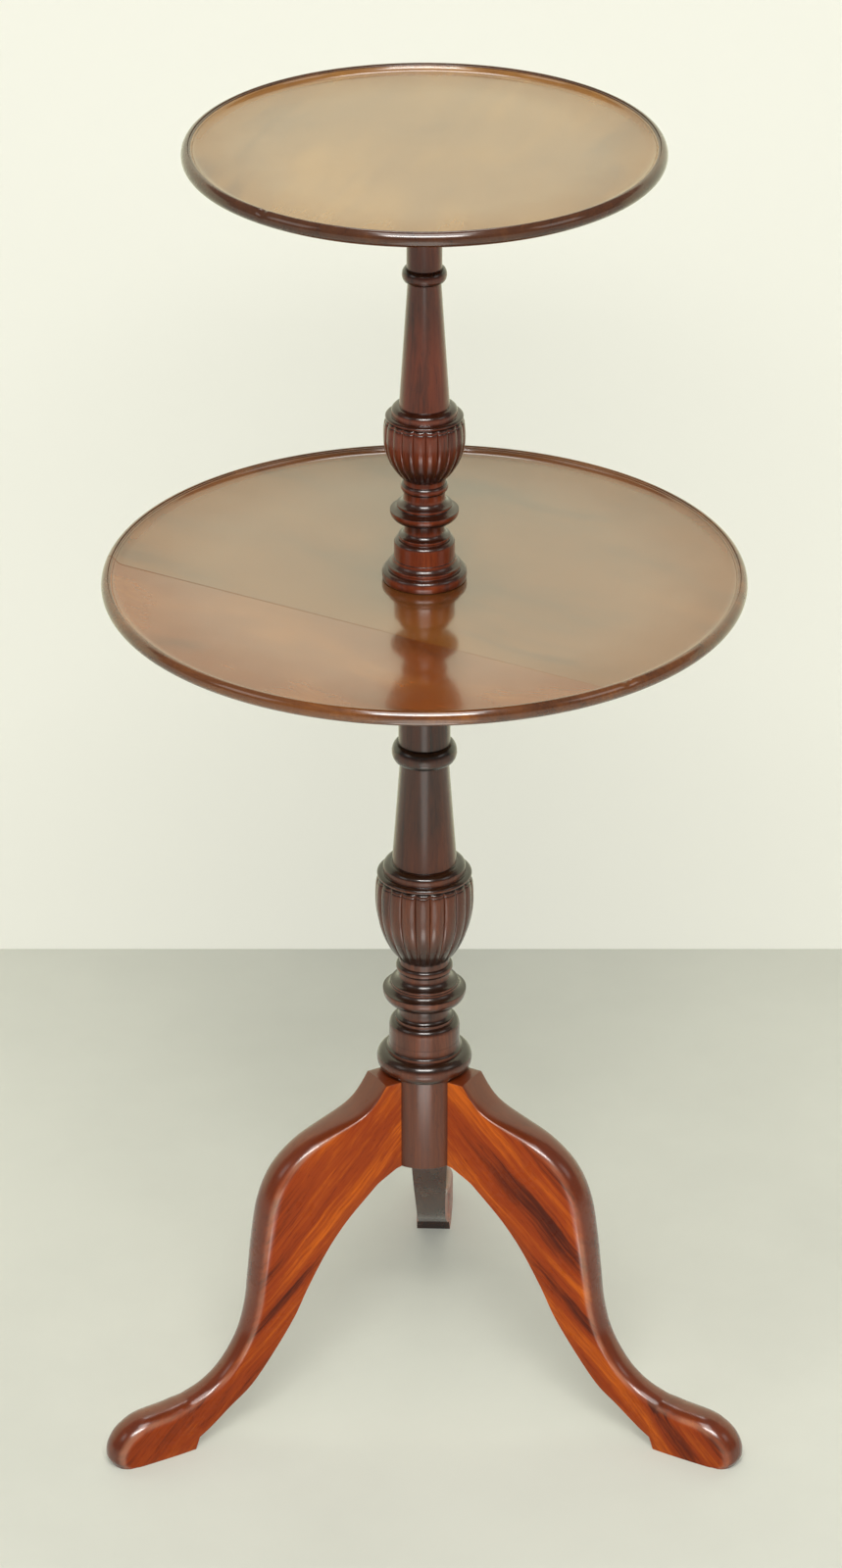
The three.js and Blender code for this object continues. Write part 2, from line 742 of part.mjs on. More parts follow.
// The origin lies on the floor under the middle of the space that the table fills
const filled = new THREE.Box3().setFromObject(table, true);
const middle = filled.getCenter(new THREE.Vector3());
table.position.set(-middle.x, -middle.y, 0);

export default table;
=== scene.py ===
"""Two-tier dumbwaiter table: turned mahogany columns, three cabriole legs and two dished trays that turn."""

import logging
import math
from dataclasses import dataclass, field, replace
from enum import Enum
from functools import reduce
from itertools import accumulate

import bmesh
import bpy
from mathutils import Euler, Matrix, Vector, noise


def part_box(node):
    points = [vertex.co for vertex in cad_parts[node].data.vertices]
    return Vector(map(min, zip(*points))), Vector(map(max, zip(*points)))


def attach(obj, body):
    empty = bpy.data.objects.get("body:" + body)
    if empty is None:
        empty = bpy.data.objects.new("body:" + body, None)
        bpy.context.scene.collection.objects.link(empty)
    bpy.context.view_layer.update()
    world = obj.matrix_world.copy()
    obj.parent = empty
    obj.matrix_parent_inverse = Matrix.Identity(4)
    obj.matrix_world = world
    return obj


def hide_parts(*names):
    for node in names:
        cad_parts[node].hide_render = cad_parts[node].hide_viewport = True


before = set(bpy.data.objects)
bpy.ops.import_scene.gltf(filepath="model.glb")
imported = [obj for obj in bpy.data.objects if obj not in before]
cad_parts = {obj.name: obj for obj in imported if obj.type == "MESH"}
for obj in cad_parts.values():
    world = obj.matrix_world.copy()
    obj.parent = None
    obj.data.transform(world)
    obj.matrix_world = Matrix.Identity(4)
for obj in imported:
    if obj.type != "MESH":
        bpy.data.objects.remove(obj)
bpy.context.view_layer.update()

logging.basicConfig(level=logging.INFO, format="%(message)s")
log = logging.getLogger("dumbwaiter")

Colour = tuple[float, float, float]
Point = tuple[float, float]
Place = tuple[float, float, float]

MM = 0.001
# Gaps in millimetres: between pieces that are fixed together, under a bearer, and round a pin that turns
FIT_GAP = 0.3
RUNNING_GAP = 0.35
BORE_GAP = 0.12
# Radii of the columns' pins and of the tenon between the columns, and the tenon's length
LOWER_PIN = 14.0
UPPER_PIN = 9.0
TENON = 9.5
TENON_LENGTH = 38.0
BLOCK_RADIUS = 31.0
# The way that each leg points, and that the front of the large tray's glued joint faces, in degrees
LEG_DEGREES = {"front_left": 210.0, "front_right": 330.0, "back": 88.0}
JOINT_DEGREES = 239.3
# Edges above this angle are shaded sharp, where a piece has no angle of its own
SHARP = 32.0


class Slot(Enum):
    """The record's material slots."""

    COLUMN = "column_mahogany"
    LEG = "leg_mahogany"
    TRAY = "tray_mahogany"
    BEARER = "bearer_wood"
    IRON = "iron"
    STEEL = "screw_steel"


class Body(Enum):
    """The parts that move as one."""

    STAND = "stand"
    LOWER_TRAY = "lower_tray"
    UPPER_TRAY = "upper_tray"


class Bend(Enum):
    """The kinds of moulding that a turner cuts."""

    ROUND = "round"
    SWELL = "swell"
    HOLLOW = "hollow"
    STRAIGHT = "straight"


ROUND, SWELL, HOLLOW, STRAIGHT = Bend


# Node groups


def opaque(colour: Colour) -> tuple[float, float, float, float]:
    """Returns the colour with full alpha."""
    return (*colour, 1.0)


class Wiring:
    """Shorthand for placing and joining nodes in one tree."""

    def __init__(self, tree: bpy.types.NodeTree) -> None:
        """Works in that tree."""
        self.tree = tree

    def feed(self, node: bpy.types.Node, feeds: dict[str | int, object]) -> None:
        """Feeds a node's inputs.

        Args:
            node: The node.
            feeds: For an input's name or number, the socket that feeds it or the value that it has.
        """
        for key, source in feeds.items():
            if isinstance(source, bpy.types.NodeSocket):
                self.tree.links.new(source, node.inputs[key])
            else:
                node.inputs[key].default_value = source

    def node(self, kind: str, feeds: dict[str | int, object], **settings: object) -> bpy.types.Node:
        """Places a shader node.

        Args:
            kind: The name of its type, after ShaderNode.
            feeds: What feeds its inputs.
            settings: The node's own settings.

        Returns:
            The node.
        """
        made = self.tree.nodes.new(f"ShaderNode{kind}")
        for name, value in settings.items():
            setattr(made, name, value)
        self.feed(made, feeds)
        return made

    def group(self, tree: bpy.types.NodeTree, feeds: dict[str, object]) -> bpy.types.NodeOutputs:
        """Places a node group and returns its outputs."""
        return self.node("Group", feeds, node_tree=tree).outputs

    def noise(self, place: object, scale: float, detail: float, rough: float = 0.5,
              output: str = "Fac") -> bpy.types.NodeSocket:
        """Returns a noise texture's output."""
        feeds = {"Vector": place, "Scale": scale, "Detail": detail, "Roughness": rough}
        return self.node("TexNoise", feeds).outputs[output]

    def vector(self, operation: str, a: object, b: object = (0.0, 0.0, 0.0)) -> bpy.types.NodeSocket:
        """Returns what an operation makes of two vectors, or of a vector and a scale."""
        made = self.node("VectorMath", {0: a, 3 if operation == "SCALE" else 1: b}, operation=operation)
        return made.outputs["Value" if operation in ("LENGTH", "DOT_PRODUCT") else "Vector"]

    def math(self, operation: str, a: object, b: object = 0.0) -> bpy.types.NodeSocket:
        """Returns what an operation makes of two numbers."""
        return self.node("Math", {0: a, 1: b}, operation=operation).outputs[0]

    def product(self, *factors: object) -> bpy.types.NodeSocket:
        """Returns the product of numbers, the first of which varies over the surface."""
        return reduce(lambda a, b: self.math("MULTIPLY", a, b), factors)

    def spread(self, value: object, low: float, high: float, start: float = 0.0,
               end: float = 1.0) -> bpy.types.NodeSocket:
        """Returns the value mapped smoothly from low and high to start and end."""
        feeds = {"Value": value, "From Min": low, "From Max": high, "To Min": start, "To Max": end}
        return self.node("MapRange", feeds, interpolation_type="SMOOTHSTEP").outputs["Result"]

    def between(self, fraction: object, low: object, high: object) -> bpy.types.NodeSocket:
        """Returns the number that lies a fraction of the way between two."""
        return self.node("Mix", {0: fraction, 2: low, 3: high}).outputs[0]

    def tint(self, fraction: object, base: object, over: object) -> bpy.types.NodeSocket:
        """Returns one colour laid over another."""
        return self.node("Mix", {0: fraction, 6: base, 7: over}, data_type="RGBA").outputs[2]


class GroupMaker(Wiring):
    """Builds one shader node group with named sockets."""

    def __init__(self, name: str, inputs: dict[str, float | tuple]) -> None:
        """Starts a group that takes a place, and numbers and colours.

        Args:
            name: Its name.
            inputs: The value that each input has where nothing is set, a number or a colour.
        """
        super().__init__(bpy.data.node_groups.new(name, "ShaderNodeTree"))
        entry, self.exit = self.tree.nodes.new("NodeGroupInput"), self.tree.nodes.new("NodeGroupOutput")
        self.tree.interface.new_socket(name="Vector", in_out="INPUT", socket_type="NodeSocketVector")
        for socket, value in inputs.items():
            kind = "NodeSocketColor" if isinstance(value, tuple) else "NodeSocketFloat"
            made = self.tree.interface.new_socket(name=socket, in_out="INPUT", socket_type=kind)
            made.default_value = value
        self.entry = entry.outputs

    def gives(self, outputs: dict[str, bpy.types.NodeSocket]) -> bpy.types.NodeTree:
        """Adds the outputs, each a colour or a number as its source is.

        Args:
            outputs: The socket inside the group that feeds each one.

        Returns:
            The finished group.
        """
        for name, source in outputs.items():
            kind = "NodeSocketColor" if source.type == "RGBA" else "NodeSocketFloat"
            self.tree.interface.new_socket(name=name, in_out="OUTPUT", socket_type=kind)
            self.tree.links.new(source, self.exit.inputs[name])
        return self.tree


def grain_group() -> bpy.types.NodeTree:
    """Builds the mahogany figure, whose long grain runs along the X of the vector that comes in.

    Returns:
        The node group, with Color and Height.
    """
    maker = GroupMaker("mahogany_grain", {
        "Swirl": 0.01,
        "Contrast": 1.0,
        "Softness": 0.0,
        "Pore Strength": 0.5,
        "Dark": (0.05, 0.012, 0.006, 1),
        "Middle": (0.18, 0.05, 0.02, 1),
        "Light": (0.35, 0.11, 0.035, 1),
    })
    entry, place = maker.entry, maker.entry["Vector"]
    # Slow swirls, then a fine shiver
    for scale, amount in ((4.5, entry["Swirl"]), (38.0, 0.0035)):
        bend = maker.vector("SUBTRACT", maker.noise(place, scale, 2.0, output="Color"), (0.5, 0.5, 0.5))
        place = maker.vector("ADD", place, maker.vector("SCALE", bend, amount))

    def layer(along: float, across: float, detail: float, rough: float = 0.5) -> bpy.types.NodeSocket:
        """Returns a noise that is drawn out along the grain."""
        return maker.noise(maker.vector("MULTIPLY", place, (along, across, across)), 1.0, detail, rough)

    ribbon, streak = layer(3.0, 62.0, 4.0, 0.55), layer(15.0, 430.0, 3.0, 0.6)
    blotch, pore = layer(6.0, 17.0, 2.0), layer(110.0, 1500.0, 1.0)
    # Each layer's weight where the figure is crisp and where it is soft
    broad, fine, cloud = (
        maker.product(source, maker.between(entry["Softness"], crisp, soft))
        for source, crisp, soft in ((ribbon, 0.5, 0.16), (streak, 0.22, 0.13), (blotch, 0.28, 0.71))
    )
    figure = maker.math("SUBTRACT", maker.math("ADD", maker.math("ADD", broad, fine), cloud), 0.5)
    level = maker.math("ADD", maker.product(figure, entry["Contrast"]), 0.5)
    colour = maker.tint(maker.spread(level, 0.28, 0.5), entry["Dark"], entry["Middle"])
    colour = maker.tint(maker.spread(level, 0.48, 0.74), colour, entry["Light"])
    pores = maker.spread(pore, 0.6, 0.72)
    colour = maker.tint(maker.product(pores, entry["Pore Strength"]), colour, entry["Dark"])
    height = maker.math("SUBTRACT", maker.product(streak, 0.4), pores)
    return maker.gives({"Color": colour, "Height": height})


def handling_group() -> bpy.types.NodeTree:
    """Builds the marks of use: worn arrises, grime with painted shade in the quirks, smears and soft
    undulation.

    Returns:
        The node group, with Roughness, Edge, the darkening in the quirks (grime and painted shade), and Height.
    """
    maker = GroupMaker("handling", {"Pointiness": 0.5, "Smooth": 0.15, "Dull": 0.3})
    entry, place = maker.entry, maker.entry["Vector"]
    smear, speck = maker.noise(place, 16.0, 4.0, 0.6), maker.noise(place, 260.0, 3.0, 0.6)
    patchy = maker.spread(maker.noise(place, 22.0, 2.0), 0.35, 0.62, 0.25, 1.0)
    edge = maker.product(maker.spread(entry["Pointiness"], 0.515, 0.6), patchy)
    # Darker in the quirks: grime, and painted shade where the hollows would lie in shade
    grime_and_shade = maker.product(maker.spread(entry["Pointiness"], 0.49, 0.42), patchy)
    mottle = maker.math("ADD", maker.product(smear, 0.75), maker.product(speck, 0.25))
    rough = maker.between(maker.spread(mottle, 0.36, 0.68), entry["Smooth"], entry["Dull"])
    rough = maker.math("ADD", rough, maker.product(grime_and_shade, 0.25))
    ripple = maker.noise(place, 34.0, 2.0, 0.4)
    return maker.gives({"Roughness": rough, "Edge": edge, "Grime And Shade": grime_and_shade, "Height": ripple})


def rust_group() -> bpy.types.NodeTree:
    """Builds the skin of old iron: dark scale, brown bloom and pitting.

    Returns:
        The node group, with Color, Roughness, Metallic and Height.
    """
    maker = GroupMaker("old_iron", {
        "Metal": (0.2, 0.19, 0.18, 1),
        "Bloom": (0.12, 0.06, 0.03, 1),
        "Amount": 0.5,
    })
    entry, place = maker.entry, maker.entry["Vector"]
    cloud, pit = maker.noise(place, 90.0, 5.0, 0.65), maker.noise(place, 900.0, 3.0, 0.6)
    cover = maker.product(maker.spread(cloud, 0.42, 0.62), entry["Amount"])
    return maker.gives({
        "Color": maker.tint(cover, entry["Metal"], entry["Bloom"]),
        "Roughness": maker.math("ADD", maker.between(cover, 0.32, 0.75), maker.product(pit, 0.2)),
        "Metallic": maker.between(cover, 0.95, 0.25),
        "Height": maker.math("ADD", pit, cloud),
    })


class Groups:
    """The node groups, each built once and placed in every material that uses it."""

    def __init__(self) -> None:
        """Builds them."""
        self.grain = grain_group()
        self.handling = handling_group()
        self.rust = rust_group()


# Finishes


class Surface(Wiring):
    """A new material, with its shader and its coordinates at hand."""

    def __init__(self, name: str) -> None:
        """Starts the material.

        Args:
            name: Its name.
        """
        self.material = bpy.data.materials.new(name)
        self.material.use_nodes = True
        super().__init__(self.material.node_tree)
        self.shader = self.tree.nodes["Principled BSDF"]
        self.coords = self.node("TexCoord", {}).outputs

    def raised(self, height: bpy.types.NodeSocket, depth: float, **normal: object) -> bpy.types.NodeSocket:
        """Returns the normal of the surface raised by a height, over a Normal that it may have already."""
        return self.node("Bump", {"Height": height, "Distance": depth, **normal}).outputs["Normal"]


@dataclass(frozen=True)
class PolishedWood:
    """A wood finish: three grain colours, the way the grain runs, how the polish has aged, and painted shade
    and highlights.
    """

    name: str
    dark: Colour
    middle: Colour
    light: Colour
    along: Colour = (0.0, 0.0, 1.0)
    offset: Colour = (0.0, 0.0, 0.0)
    swirl: float = 0.02
    contrast: float = 1.6
    softness: float = 0.0
    pores: float = 0.5
    smooth: float = 0.16
    dull: float = 0.32
    coat: float = 0.6
    coat_roughness: float = 0.08
    edge: Colour = (0.30, 0.10, 0.04)
    edge_wear: float = 0.5
    # Darkening in the hollows, grime and painted shade: its amount and colour
    grime_and_shade: float = 0.75
    grime_and_shade_colour: Colour = (0.008, 0.004, 0.003)
    ripple: float = 0.00015
    pore_depth: float = 0.00002
    specular: float = 0.5
    index: float = 1.5
    coat_index: float = 1.5
    # Painted shade by the way that the surface faces: that way, the span over which it fades in, its amount and
    # colour, then a painted highlight on the arrises between, and how much thicker the polish lies past them
    facing: Colour | None = None
    painted_shade_span: Point = (0.96, 0.35)
    painted_shade_amount: float = 0.88
    painted_shade_colour: Colour = (0.05, 0.014, 0.007)
    arris_highlight: float = 0.0
    arris_highlight_colour: Colour = (0.56, 0.3, 0.19)
    crest_coat: float = 0.0
    # Wear by the distance from the column: where hands reach and what polish is left there; and painted shade
    # inside, round the column's foot
    worn_radius: float = 0.0
    worn_coat: float = 0.6
    painted_foot_shade: float = 0.0
    painted_foot_shade_colour: Colour = (0.03, 0.009, 0.003)

    def material(self, groups: Groups) -> bpy.types.Material:
        """Builds the material.

        Args:
            groups: The shared node groups.

        Returns:
            The new material.
        """
        surface = Surface(self.name)
        turn = Vector(self.along).rotation_difference(Vector((1, 0, 0))).to_euler()
        placing = {"Vector": surface.coords["Object"], "Location": self.offset, "Rotation": turn}
        place = surface.node("Mapping", placing).outputs["Vector"]
        grain = surface.group(groups.grain, {
            "Vector": place,
            "Swirl": self.swirl,
            "Contrast": self.contrast,
            "Softness": self.softness,
            "Pore Strength": self.pores,
            "Dark": opaque(self.dark),
            "Middle": opaque(self.middle),
            "Light": opaque(self.light),
        })
        use = surface.group(groups.handling, {
            "Vector": place,
            "Pointiness": surface.node("NewGeometry", {}).outputs["Pointiness"],
            "Smooth": self.smooth,
            "Dull": self.dull,
        })
        worn = surface.product(use["Edge"], self.edge_wear)
        colour = surface.tint(worn, grain["Color"], opaque(self.edge))
        # Darker in the hollows: grime and painted shade
        grimed_and_shaded = surface.product(use["Grime And Shade"], self.grime_and_shade)
        colour = surface.tint(grimed_and_shaded, colour, opaque(self.grime_and_shade_colour))
        # Painted shade on faces turned from the facing, and a painted highlight on the arrises
        if self.facing is not None:
            colour = self.shade_and_highlight(surface, colour, use["Height"])
        # Polish worn towards the rim, and painted shade round the column's foot
        if self.worn_radius > 0.0:
            colour = self.worn(surface, colour, use["Height"])
        pored = surface.raised(grain["Height"], self.pore_depth)
        surface.feed(surface.shader, {
            "Base Color": colour,
            "Roughness": use["Roughness"],
            "Normal": surface.raised(use["Height"], self.ripple, Normal=pored),
            "IOR": self.index,
            "Specular IOR Level": self.specular,
            "Coat Weight": self.coat,
            "Coat Roughness": self.coat_roughness,
            "Coat IOR": self.coat_index,
        })
        return surface.material

    def shade_and_highlight(self, surface: Surface, colour: object, uneven: object) -> bpy.types.NodeSocket:
        """Paints shade on what faces away, paints a highlight on the arrises between, and sets the thicker
        polish past them.

        Args:
            surface: The material in the making.
            colour: Its colour so far.
            uneven: A soft noise that breaks up the painted highlight.

        Returns:
            The colour with the painted shade and highlight.
        """
        level = surface.vector("DOT_PRODUCT", surface.coords["Normal"], self.facing)
        level = surface.math("ABSOLUTE", level)
        shaded = surface.product(surface.spread(level, *self.painted_shade_span), self.painted_shade_amount)
        colour = surface.tint(shaded, colour, opaque(self.painted_shade_colour))
        # A painted highlight along the arrises between flank and crest
        arris = surface.product(surface.spread(level, 0.985, 0.87), surface.spread(level, 0.5, 0.78))
        arris_highlight = surface.product(arris, surface.spread(uneven, 0.38, 0.58, 0.4, 1.0), self.arris_highlight)
        if self.crest_coat > 0.0:
            coat = surface.spread(level, 0.99, 0.9, self.coat, self.coat + self.crest_coat)
            surface.feed(surface.shader, {"Coat Weight": coat})
        return surface.tint(arris_highlight, colour, opaque(self.arris_highlight_colour))

    def worn(self, surface: Surface, colour: object, uneven: object) -> bpy.types.NodeSocket:
        """Wears the polish where hands reach over the rim, and paints shade round the middle, at the column's
        foot.

        Args:
            surface: The material in the making.
            colour: Its colour so far.
            uneven: A soft noise that makes both stray.

        Returns:
            The colour with the painted shade.
        """
        radius = self.worn_radius
        level_place = surface.vector("MULTIPLY", surface.coords["Object"], (1.0, 1.0, 0.0))
        stray = surface.product(uneven, 0.12 * radius)
        reached = surface.math("ADD", surface.vector("LENGTH", level_place), stray)
        thinned = surface.spread(reached, 0.72 * radius, 1.06 * radius)
        surface.feed(surface.shader, {"Coat Weight": surface.between(thinned, self.coat, self.worn_coat)})
        painted_foot_shade_mask = surface.spread(reached, 0.44 * radius, 0.2 * radius, 0.0, self.painted_foot_shade)
        return surface.tint(painted_foot_shade_mask, colour, opaque(self.painted_foot_shade_colour))


@dataclass(frozen=True)
class OldMetal:
    """A metal finish with rust bloom."""

    name: str
    metal: Colour
    bloom: Colour
    amount: float
    pitting: float = 0.0001

    def material(self, groups: Groups) -> bpy.types.Material:
        """Builds the material.

        Args:
            groups: The shared node groups.

        Returns:
            The new material.
        """
        surface = Surface(self.name)
        skin = surface.group(groups.rust, {
            "Vector": surface.coords["Object"],
            "Metal": opaque(self.metal),
            "Bloom": opaque(self.bloom),
            "Amount": self.amount,
        })
        surface.feed(surface.shader, {
            "Base Color": skin["Color"],
            "Roughness": skin["Roughness"],
            "Metallic": skin["Metallic"],
            "Normal": surface.raised(skin["Height"], self.pitting),
        })
        return surface.material


@dataclass(frozen=True)
class TrayFinish:
    """The materials of one board: its field, its moulded rim and its underside."""

    field: bpy.types.Material
    rim: bpy.types.Material
    underside: bpy.types.Material


class Finishes:
    """Every finish on the table, as materials."""

    def __init__(self) -> None:
        """Builds them."""
        self.groups = Groups()
        self.column, self.upper_column = self.column_polishes()
        self.legs = self.leg_polishes()
        self.back_board, self.front_board, self.small_tray = self.tray_polishes()
        self.bearer = PolishedWood(
            "oiled_bearer_wood", (0.11, 0.045, 0.02), (0.24, 0.12, 0.06), (0.36, 0.2, 0.1),
            along=(1.0, 0.2, 0.0), offset=(0.6, 1.7, 0.4), contrast=1.8, pores=0.7, smooth=0.5, dull=0.7,
            coat=0.0, edge=(0.4, 0.25, 0.15), pore_depth=0.00008,
        ).material(self.groups)
        self.iron = OldMetal(
            "blackened_iron", (0.07, 0.062, 0.058), (0.1, 0.045, 0.022), 0.6,
        ).material(self.groups)
        self.steel = OldMetal(
            "darkened_screw_steel", (0.22, 0.2, 0.18), (0.12, 0.07, 0.04), 0.45, 0.00004,
        ).material(self.groups)

    def column_polishes(self) -> list[bpy.types.Material]:
        """Returns the polish of the lower column and that of the redder upper one."""
        lower = PolishedWood(
            "dark_column_polish", (0.018, 0.004, 0.002), (0.086, 0.017, 0.004), (0.165, 0.034, 0.006),
            offset=(0.31, 0.7, 0.2), swirl=0.008, contrast=1.3, pores=0.3, smooth=0.3, dull=0.4,
            edge=(0.12, 0.05, 0.03), edge_wear=0.2, grime_and_shade=0.9, coat=1.0, coat_roughness=0.21, coat_index=1.6,
            # Painted shade on the faces that turn up or down
            pore_depth=0.00001, specular=0.05, facing=(0.0, 0.0, 1.0), painted_shade_span=(0.1, 0.5),
            painted_shade_amount=0.85, painted_shade_colour=(0.008, 0.004, 0.002),
        )
        upper = replace(
            lower, name="red_column_polish", dark=(0.026, 0.005, 0.002), middle=(0.14, 0.022, 0.005),
            light=(0.27, 0.048, 0.008), offset=(1.31, 0.2, 0.9), smooth=0.28, dull=0.38,
            edge=(0.16, 0.06, 0.03), painted_shade_colour=(0.012, 0.004, 0.002),
        )
        return [polish.material(self.groups) for polish in (lower, upper)]

    def leg_polishes(self) -> list[bpy.types.Material]:
        """Returns each leg's polish, bright on the flanks with painted shade on the crest, darkest on the back
        leg, and a painted highlight on the arrises.
        """
        made = []
        for i, (place, degrees) in enumerate(LEG_DEGREES.items()):
            x, y = math.cos(math.radians(degrees)), math.sin(math.radians(degrees))
            made.append(PolishedWood(
                f"leg_polish_{i + 1}", (0.07, 0.007, 0.0006), (0.31, 0.04, 0.0014), (0.62, 0.125, 0.004),
                along=(x, y, -0.95), offset=(0.9 * i, 0.37 * i, 0.61 * i), swirl=0.03, contrast=1.7,
                pores=0.35, smooth=0.26, dull=0.36, edge=(0.45, 0.12, 0.03), edge_wear=0.2, coat=0.3,
                crest_coat=0.7, coat_roughness=0.2, coat_index=1.6, specular=0.05, facing=(-y, x, 0.0),
                # The crest's painted shade, darkest on the back leg, which lies in shade under the block
                painted_shade_colour=(0.02, 0.006, 0.003) if place == "back" else (0.12, 0.022, 0.006),
                # A painted highlight along the arrises
                arris_highlight=0.35, pore_depth=0.00001,
            ).material(self.groups))
        return made

    def tray_polishes(self) -> list[TrayFinish]:
        """Returns the finishes of the large tray's back and front boards and of the small tray."""
        run = math.radians(JOINT_DEGREES + 90)
        along, small_along = (math.cos(run), math.sin(run), 0.0), (0.35, 1.0, 0.0)
        back = PolishedWood(
            "large_tray_back_polish", (0.11, 0.034, 0.007), (0.2, 0.066, 0.011), (0.23, 0.08, 0.014),
            along=along, offset=(0.2, 0.4, 0.0), swirl=0.08, contrast=1.1, softness=0.8, pores=0.04,
            smooth=0.17, dull=0.25, edge=(0.2, 0.08, 0.03), edge_wear=0.2, coat=1.0, coat_roughness=0.09,
            # Painted shade round the column's foot
            coat_index=2.0, index=1.65, worn_radius=0.222, painted_foot_shade=0.35, pore_depth=0.0,
        )
        front = replace(
            back, name="large_tray_front_polish", dark=(0.11, 0.026, 0.004), middle=(0.21, 0.052, 0.007),
            light=(0.32, 0.1, 0.013), offset=(1.2, 2.4, 0.3), swirl=0.12, contrast=1.05, softness=0.9,
            edge=(0.3, 0.12, 0.04), worn_coat=0.5,
        )
        small = replace(
            back, name="small_tray_polish", dark=(0.14, 0.05, 0.01), middle=(0.24, 0.1, 0.018),
            light=(0.33, 0.15, 0.026), along=small_along, offset=(2.2, 0.1, 0.7), coat_index=1.9,
            worn_radius=0.162, painted_foot_shade=0.0,
        )
        # The rims get a darker copy of the fields' polish: painted shade on the moulding
        large_rim = PolishedWood(
            "large_rim_shaded_polish", (0.05, 0.014, 0.004), (0.12, 0.036, 0.008), (0.23, 0.075, 0.012),
            along=along, offset=(3.1, 0.3, 0.1), swirl=0.02, contrast=1.2, pores=0.3, smooth=0.22, dull=0.34,
            edge=(0.25, 0.1, 0.04), edge_wear=0.35, grime_and_shade=0.9, coat=1.0, coat_roughness=0.12, coat_index=1.75,
            specular=0.1, pore_depth=0.00001,
        )
        small_rim = replace(
            large_rim, name="small_rim_shaded_polish", dark=(0.025, 0.008, 0.004), middle=(0.06, 0.019, 0.007),
            light=(0.11, 0.036, 0.01), along=small_along, offset=(1.1, 1.3, 0.1), edge=(0.2, 0.08, 0.04),
            coat_index=1.6,
        )
        bare = PolishedWood(
            "bare_tray_underside", (0.09, 0.035, 0.014), (0.18, 0.075, 0.03), (0.28, 0.13, 0.055),
            along=along, offset=(0.7, 3.3, 0.5), swirl=0.02, contrast=1.5, pores=0.7, smooth=0.5, dull=0.72,
            coat=0.0, specular=0.3, edge=(0.3, 0.16, 0.08), pore_depth=0.00006,
        ).material(self.groups)
        large_shaded_rim, small_shaded_rim = large_rim.material(self.groups), small_rim.material(self.groups)
        return [
            TrayFinish(field.material(self.groups), rim, bare)
            for field, rim in ((back, large_shaded_rim), (front, large_shaded_rim), (small, small_shaded_rim))
        ]


# Mesh making


def object_from(name: str, points: list[Place], faces: list[tuple[int, ...]], material: bpy.types.Material,
                sharp: float = SHARP) -> bpy.types.Object:
    """Makes a shaded mesh object.

    Args:
        name: The object's name.
        points: Places in millimetres.
        faces: Vertex lists.
        material: Its finish.
        sharp: The angle in degrees above which an edge is shaded sharp.

    Returns:
        The object, in the scene.
    """
    mesh = bpy.data.meshes.new(name)
    mesh.from_pydata([tuple(c * MM for c in p) for p in points], [], faces)
    mesh.validate()
    made = bpy.data.objects.new(name, mesh)
    bpy.context.scene.collection.objects.link(made)
    mesh.materials.append(material)
    shade(made, sharp)
    return made


def shade(made: bpy.types.Object, sharp: float) -> None:
    """Shades a mesh smooth but for edges above an angle in degrees."""
    made.data.shade_smooth()
    made.data.set_sharp_from_angle(angle=math.radians(sharp))


def unseen() -> bpy.types.Material:
    """Returns the plain material of the solids that only cut, or are joined to others."""
    return bpy.data.materials.get("tool") or bpy.data.materials.new("tool")


def spun(degrees: float) -> Matrix:
    """Returns a turn about Z."""
    return Matrix.Rotation(math.radians(degrees), 4, "Z")


def moved(x: float, y: float, z: float) -> Matrix:
    """Returns a move in millimetres."""
    return Matrix.Translation((x * MM, y * MM, z * MM))


def combined(target: bpy.types.Object, tool: bpy.types.Object, operation: str, sharp: float = SHARP) -> None:
    """Cuts or joins one closed mesh with another, and takes the tool away.

    Args:
        target: The mesh that stays.
        tool: The mesh that cuts or is added.
        operation: DIFFERENCE or UNION.
        sharp: The shading angle in degrees.
    """
    step = target.modifiers.new("shape", "BOOLEAN")
    step.operation = operation
    step.solver = "EXACT"
    step.object = tool
    bpy.context.view_layer.update()
    graph = bpy.context.evaluated_depsgraph_get()
    result = bpy.data.meshes.new_from_object(target.evaluated_get(graph))
    target.modifiers.clear()
    finish = target.data.materials[0]
    target.data = result
    result.materials.clear()
    result.materials.append(finish)
    bpy.data.objects.remove(tool)
    shade(target, sharp)


def softened(points: list[Point], radius: float, steps: int = 3) -> list[Point]:
    """Rounds an outline's corners a little, as years of polishing do.

    Args:
        points: The outline in millimetres.
        radius: How far from a corner the rounding starts.
        steps: Points that each rounding gets.

    Returns:
        The new outline.
    """
    made = [points[0]]
    for before, here, after in zip(points, points[1:], points[2:]):
        a, b = Vector(before) - Vector(here), Vector(after) - Vector(here)
        if a.length < 1e-6 or b.length < 1e-6:
            continue
        if math.pi - a.angle(b) < math.radians(24):
            made.append(here)
            continue
        start = Vector(here) + a.normalized() * min(radius, 0.42 * a.length)
        end = Vector(here) + b.normalized() * min(radius, 0.42 * b.length)
        for i in range(steps + 1):
            t = i / steps
            place = start * (1 - t) ** 2 + Vector(here) * 2 * t * (1 - t) + end * t**2
            made.append((place.x, place.y))
    made.append(points[-1])
    return made


def ring(radius: float, height: float, sides: int) -> list[Place]:
    """Returns the points of a level circle about Z, or its one point where it has no radius."""
    angles = [2 * math.pi * j / sides for j in range(sides if radius else 1)]
    return [(radius * math.cos(angle), radius * math.sin(angle), height) for angle in angles]


